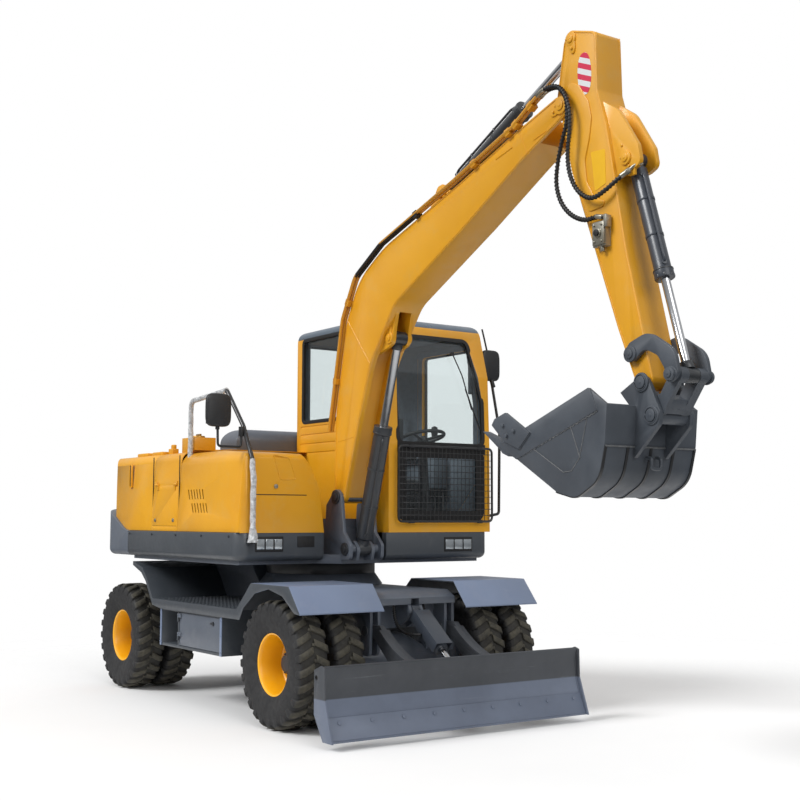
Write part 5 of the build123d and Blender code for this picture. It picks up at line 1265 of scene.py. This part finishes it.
def make_links():
    for node in ("guide_links", "h_link"):
        bevelled(node, 4, look="bucket_paint")
    b = Build("link_bosses", "guide_links", "bucket_paint")
    for y, side in ((-232, -1), (32, 1)):
        boss(b, GUIDE_PIN, y, side, 46, 9)
        boss(b, LINK_PIN, y, side, 43, 12)
        boss(b, LINK_PIN, y + side * 12, side, 36, 16, bolt=False)
    b.done(bevel=2)
    b = Build("h_link_fittings", "h_link", "bucket_paint")
    for y in (-150, -100, -50):
        b.bolt((4130, y, 1985), (1, 0, 0.3), 7, 6, False)
    b.done(bevel=2)


def make_bucket():
    bevelled("bucket", 4)
    b = Build("bucket_welds", "bucket", "bucket_paint", "weld_steel")
    for y in (-451, 251):
        weld(b, [(3347, y, 1803), (3607, y, 1658), (3674, y, 1664), (3736, y, 1732), (3799, y, 1944)], 3.0, 1.0)
        weld(b, [(3742, y, 1732), (3666, y, 1910)], 3.0, 1.0)
        weld(b, [(3215, y, 1745), (3522, y, 1853), (3880, y, 1976)], 4.5, 3.0)
    # Weld across the back
    b.tube([(3931, -445, 1790), (3931, 245, 1790)], 5, 8)
    b.done()
    # Wear strips round the heel
    heel = rounded(BUCKET_SIDE)
    b = Build("bucket_wear_strips", "bucket", "bucket_paint", "black_paint")
    low = [Vector(p) for p in heel if p[1] < 1795 and p[0] > 3300]
    for y in (-440, -275, -100, 75, 240):
        rings = []
        for i, (x, z) in enumerate(low):
            way = along_line(low, i)
            rings.append([at(x + way.y * d, y + w, z - way.x * d) for d, w in ((-2, -9), (6, -9), (6, 9), (-2, 9))])
        b.closed(rings)
    b.done(bevel=1.0, segments=1)
    b = Build("bucket_bosses", "bucket", "bucket_paint")
    for y, side in ((-232, -1), (32, 1)):
        for pin in (BUCKET_PIN, BUCKET_LINK_PIN):
            boss(b, pin, y, side, 54, 10, core=0.62)
            b.lathe([(40, side * 10), (44, side * 10), (44, side * 14), (40, side * 14)], (pin[0], y, pin[1]), sides=40)
    # Bolts of the side cutters
    for x, z in ((3118, 1942), (3150, 1880), (3215, 1905)):
        for y, side in ((-472, -1), (272, 1)):
            b.bolt((x, y, z), (0, side, 0), 13, 13)
    # Lifting eye between the ears
    b.tube([(3925, -136, 1735), (3962, -136, 1730), (3962, -136, 1672), (3962, -64, 1672), (3962, -64, 1730),
            (3925, -64, 1735)], 10, 12, bend=26)
    # Tooth sockets
    for i in range(5):
        y0 = -446 + i * 158
        b.prism("y", [(3150, 1788), (3062, 1852), (3030, 1872), (3020, 1846), (3086, 1782), (3140, 1762)], y0 - 6,
                y0 + 66)
        b.bar((3064, y0 - 9, 1836), (3064, y0 + 69, 1836), 8, 16)
    b.done(bevel=2.5)


make_boom()
make_arm()
make_links()
make_bucket()
cylinder_fittings("boom_cylinder", BOOM_CYL_BASE, BOOM_CYL_EYE, 60, 915, "barrel_black", 48, 49.5, -62, -28)
cylinder_fittings("arm_cylinder", ARM_CYL_BASE, ARM_CYL_EYE, 54, 860, "barrel_black", 46, 58.5, 78, 0)
cylinder_fittings("bucket_cylinder", BUCKET_CYL_BASE, LINK_PIN, 48, 735, None, 42, 43.5, 48, -26)


# ---- Hoses ----

CURVE_STEPS = 12
GUARD_STEPS = 60


def spline_line(name, points, steps):
    """Points along the smooth line that the given control points make."""
    curve = bpy.data.curves.new(name, "CURVE")
    curve.dimensions = "3D"
    spline = curve.splines.new("NURBS")
    spline.points.add(len(points) - 1)
    for knot, point in zip(spline.points, points):
        knot.co = (*at(*point), 1.0)
    spline.order_u = 3
    spline.use_endpoint_u = True
    spline.resolution_u = steps
    curve.resolution_u = steps
    obj = linked(name, curve)
    mesh = evaluated(obj)
    line = [v.co.copy() for v in mesh.vertices]
    bpy.data.objects.remove(obj)
    return line


def strand(name, line, radius, sides, look=None):
    """A round strand on a line in metres, on no body."""
    b = Build(name, None, "hose_rubber", look)
    b.closed([ring(*place, radius / 1000, sides) for place in frames(line)])
    return b.done(smooth=60)


def make_hose(node, points, radius, turns):
    """A hose on its own smooth line, with a spiral guard wound on it."""
    line = spline_line(f"{node}_line", points, CURVE_STEPS)
    tube = strand(f"{node}_tube", line, radius, 14)
    fine = spline_line(f"{node}_guide", points, GUARD_STEPS)
    total = [0.0]
    for near, far in zip(fine, fine[1:]):
        total.append(total[-1] + (far - near).length)
    helix = []
    for (here, across, other), run in zip(frames(fine), total):
        if 0.03 < run < total[-1] - 0.06:
            angle = 2 * pi * turns * run / total[-1]
            helix.append(here + (across * cos(angle) + other * sin(angle)) * (radius + 1.6) / 1000)
    guard = strand(f"{node}_guard", helix, 3.0, 6, "rubber")
    for obj in (tube, guard):
        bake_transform(obj)
    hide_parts(node)


HOSE_TO_CYLINDER = [(3226, -245, 3956), (3340, -252, 3962), (3440, -265, 3886), (3493, -270, 3765), (3492, -272, 3635),
                    (3470, -272, 3505), (3485, -270, 3375), (3548, -264, 3262), (3655, -260, 3196), (3765, -250, 3235),
                    (3840, -225, 3290), (3886, -191, 3326)]
HOSE_TO_VALVE = [(3226, -217, 3956), (3325, -222, 3964), (3412, -234, 3900), (3442, -240, 3800), (3432, -240, 3690),
                 (3385, -240, 3590), (3350, -240, 3475), (3335, -240, 3360), (3370, -238, 3245), (3455, -236, 3150),
                 (3570, -234, 3095), (3665, -232, 3104), (3734, -231, 3086)]
HOSE_TO_BLADE = [(1497, 125, 808), (1507, 130, 730), (1550, 129, 662), (1625, 118, 622), (1700, 99, 614),
                 (1751, 77, 620)]
for node, points, length in (("bucket_cylinder_hose", HOSE_TO_CYLINDER, 1.281),
                             ("arm_valve_hose", HOSE_TO_VALVE, 1.296)):
    make_hose(node, points, 11, 58)
for label, side in SIDES:
    make_hose(f"blade_hose_{label}", [(x, side * y, z) for x, y, z in HOSE_TO_BLADE], 9,
              24)


# ---- Floor, light and view ----

FLOOR_HALF = 60
# Name, place that the light comes from, angle of its disc, strength
SUNS = (("key", (-2.0, -10.0, 8.0), 24.0, 2.3), ("fill", (9.0, -1.0, 5.0), 40.0, 1.1))


def make_floor():
    mesh = bpy.data.meshes.new("floor")
    corners = [(FLOOR_HALF * u, FLOOR_HALF * v, 0) for u, v in ((-1, -1), (1, -1), (1, 1), (-1, 1))]
    mesh.from_pydata(corners, [], [(0, 1, 2, 3)])
    floor = linked("floor", mesh)
    floor.location.z = -0.001
    s = Shader("floor")
    # The floor fades out round the machine
    mesh.materials.append(s.done(s.mix(s.ramp(s.noise(0.7), 0.3, 0.7), (0.90, 0.90, 0.90), (0.88, 0.88, 0.88)), 0.9,
                                 Alpha=s.ramp(s.distance("X", "Y"), 3.0, 7.0, 1.0, 0.0)))


def make_world():
    """White behind the machine for the camera, and a sky that brightens upwards for its light."""
    world = bpy.data.worlds.new("world")
    bpy.context.scene.world = world
    world.use_nodes = True
    w = Nodes(world.node_tree)
    height = w.node("SeparateXYZ", {0: w.node("TexCoord").outputs["Generated"]}).outputs["Z"]
    given = w.tree.nodes["Background"]
    w.put(given, {"Strength": 1.0, "Color": w.ramp(height, -0.15, 0.5, 0.08, 0.62)})
    shown = w.node("Background", {"Color": (1.0, 1.0, 1.0)})
    camera = w.node("LightPath").outputs["Is Camera Ray"]
    w.put(w.tree.nodes["World Output"], {"Surface": w.blended(camera, given, shown)})


def make_suns():
    for name, place, angle, power in SUNS:
        data = bpy.data.lights.new(name, "SUN")
        data.angle = radians(angle)
        data.energy = power
        linked(name, data).rotation_euler = (-Vector(place)).to_track_quat("-Z", "Y").to_euler()


make_floor()
make_world()
make_suns()
bpy.context.scene.view_settings.view_transform = "Standard"
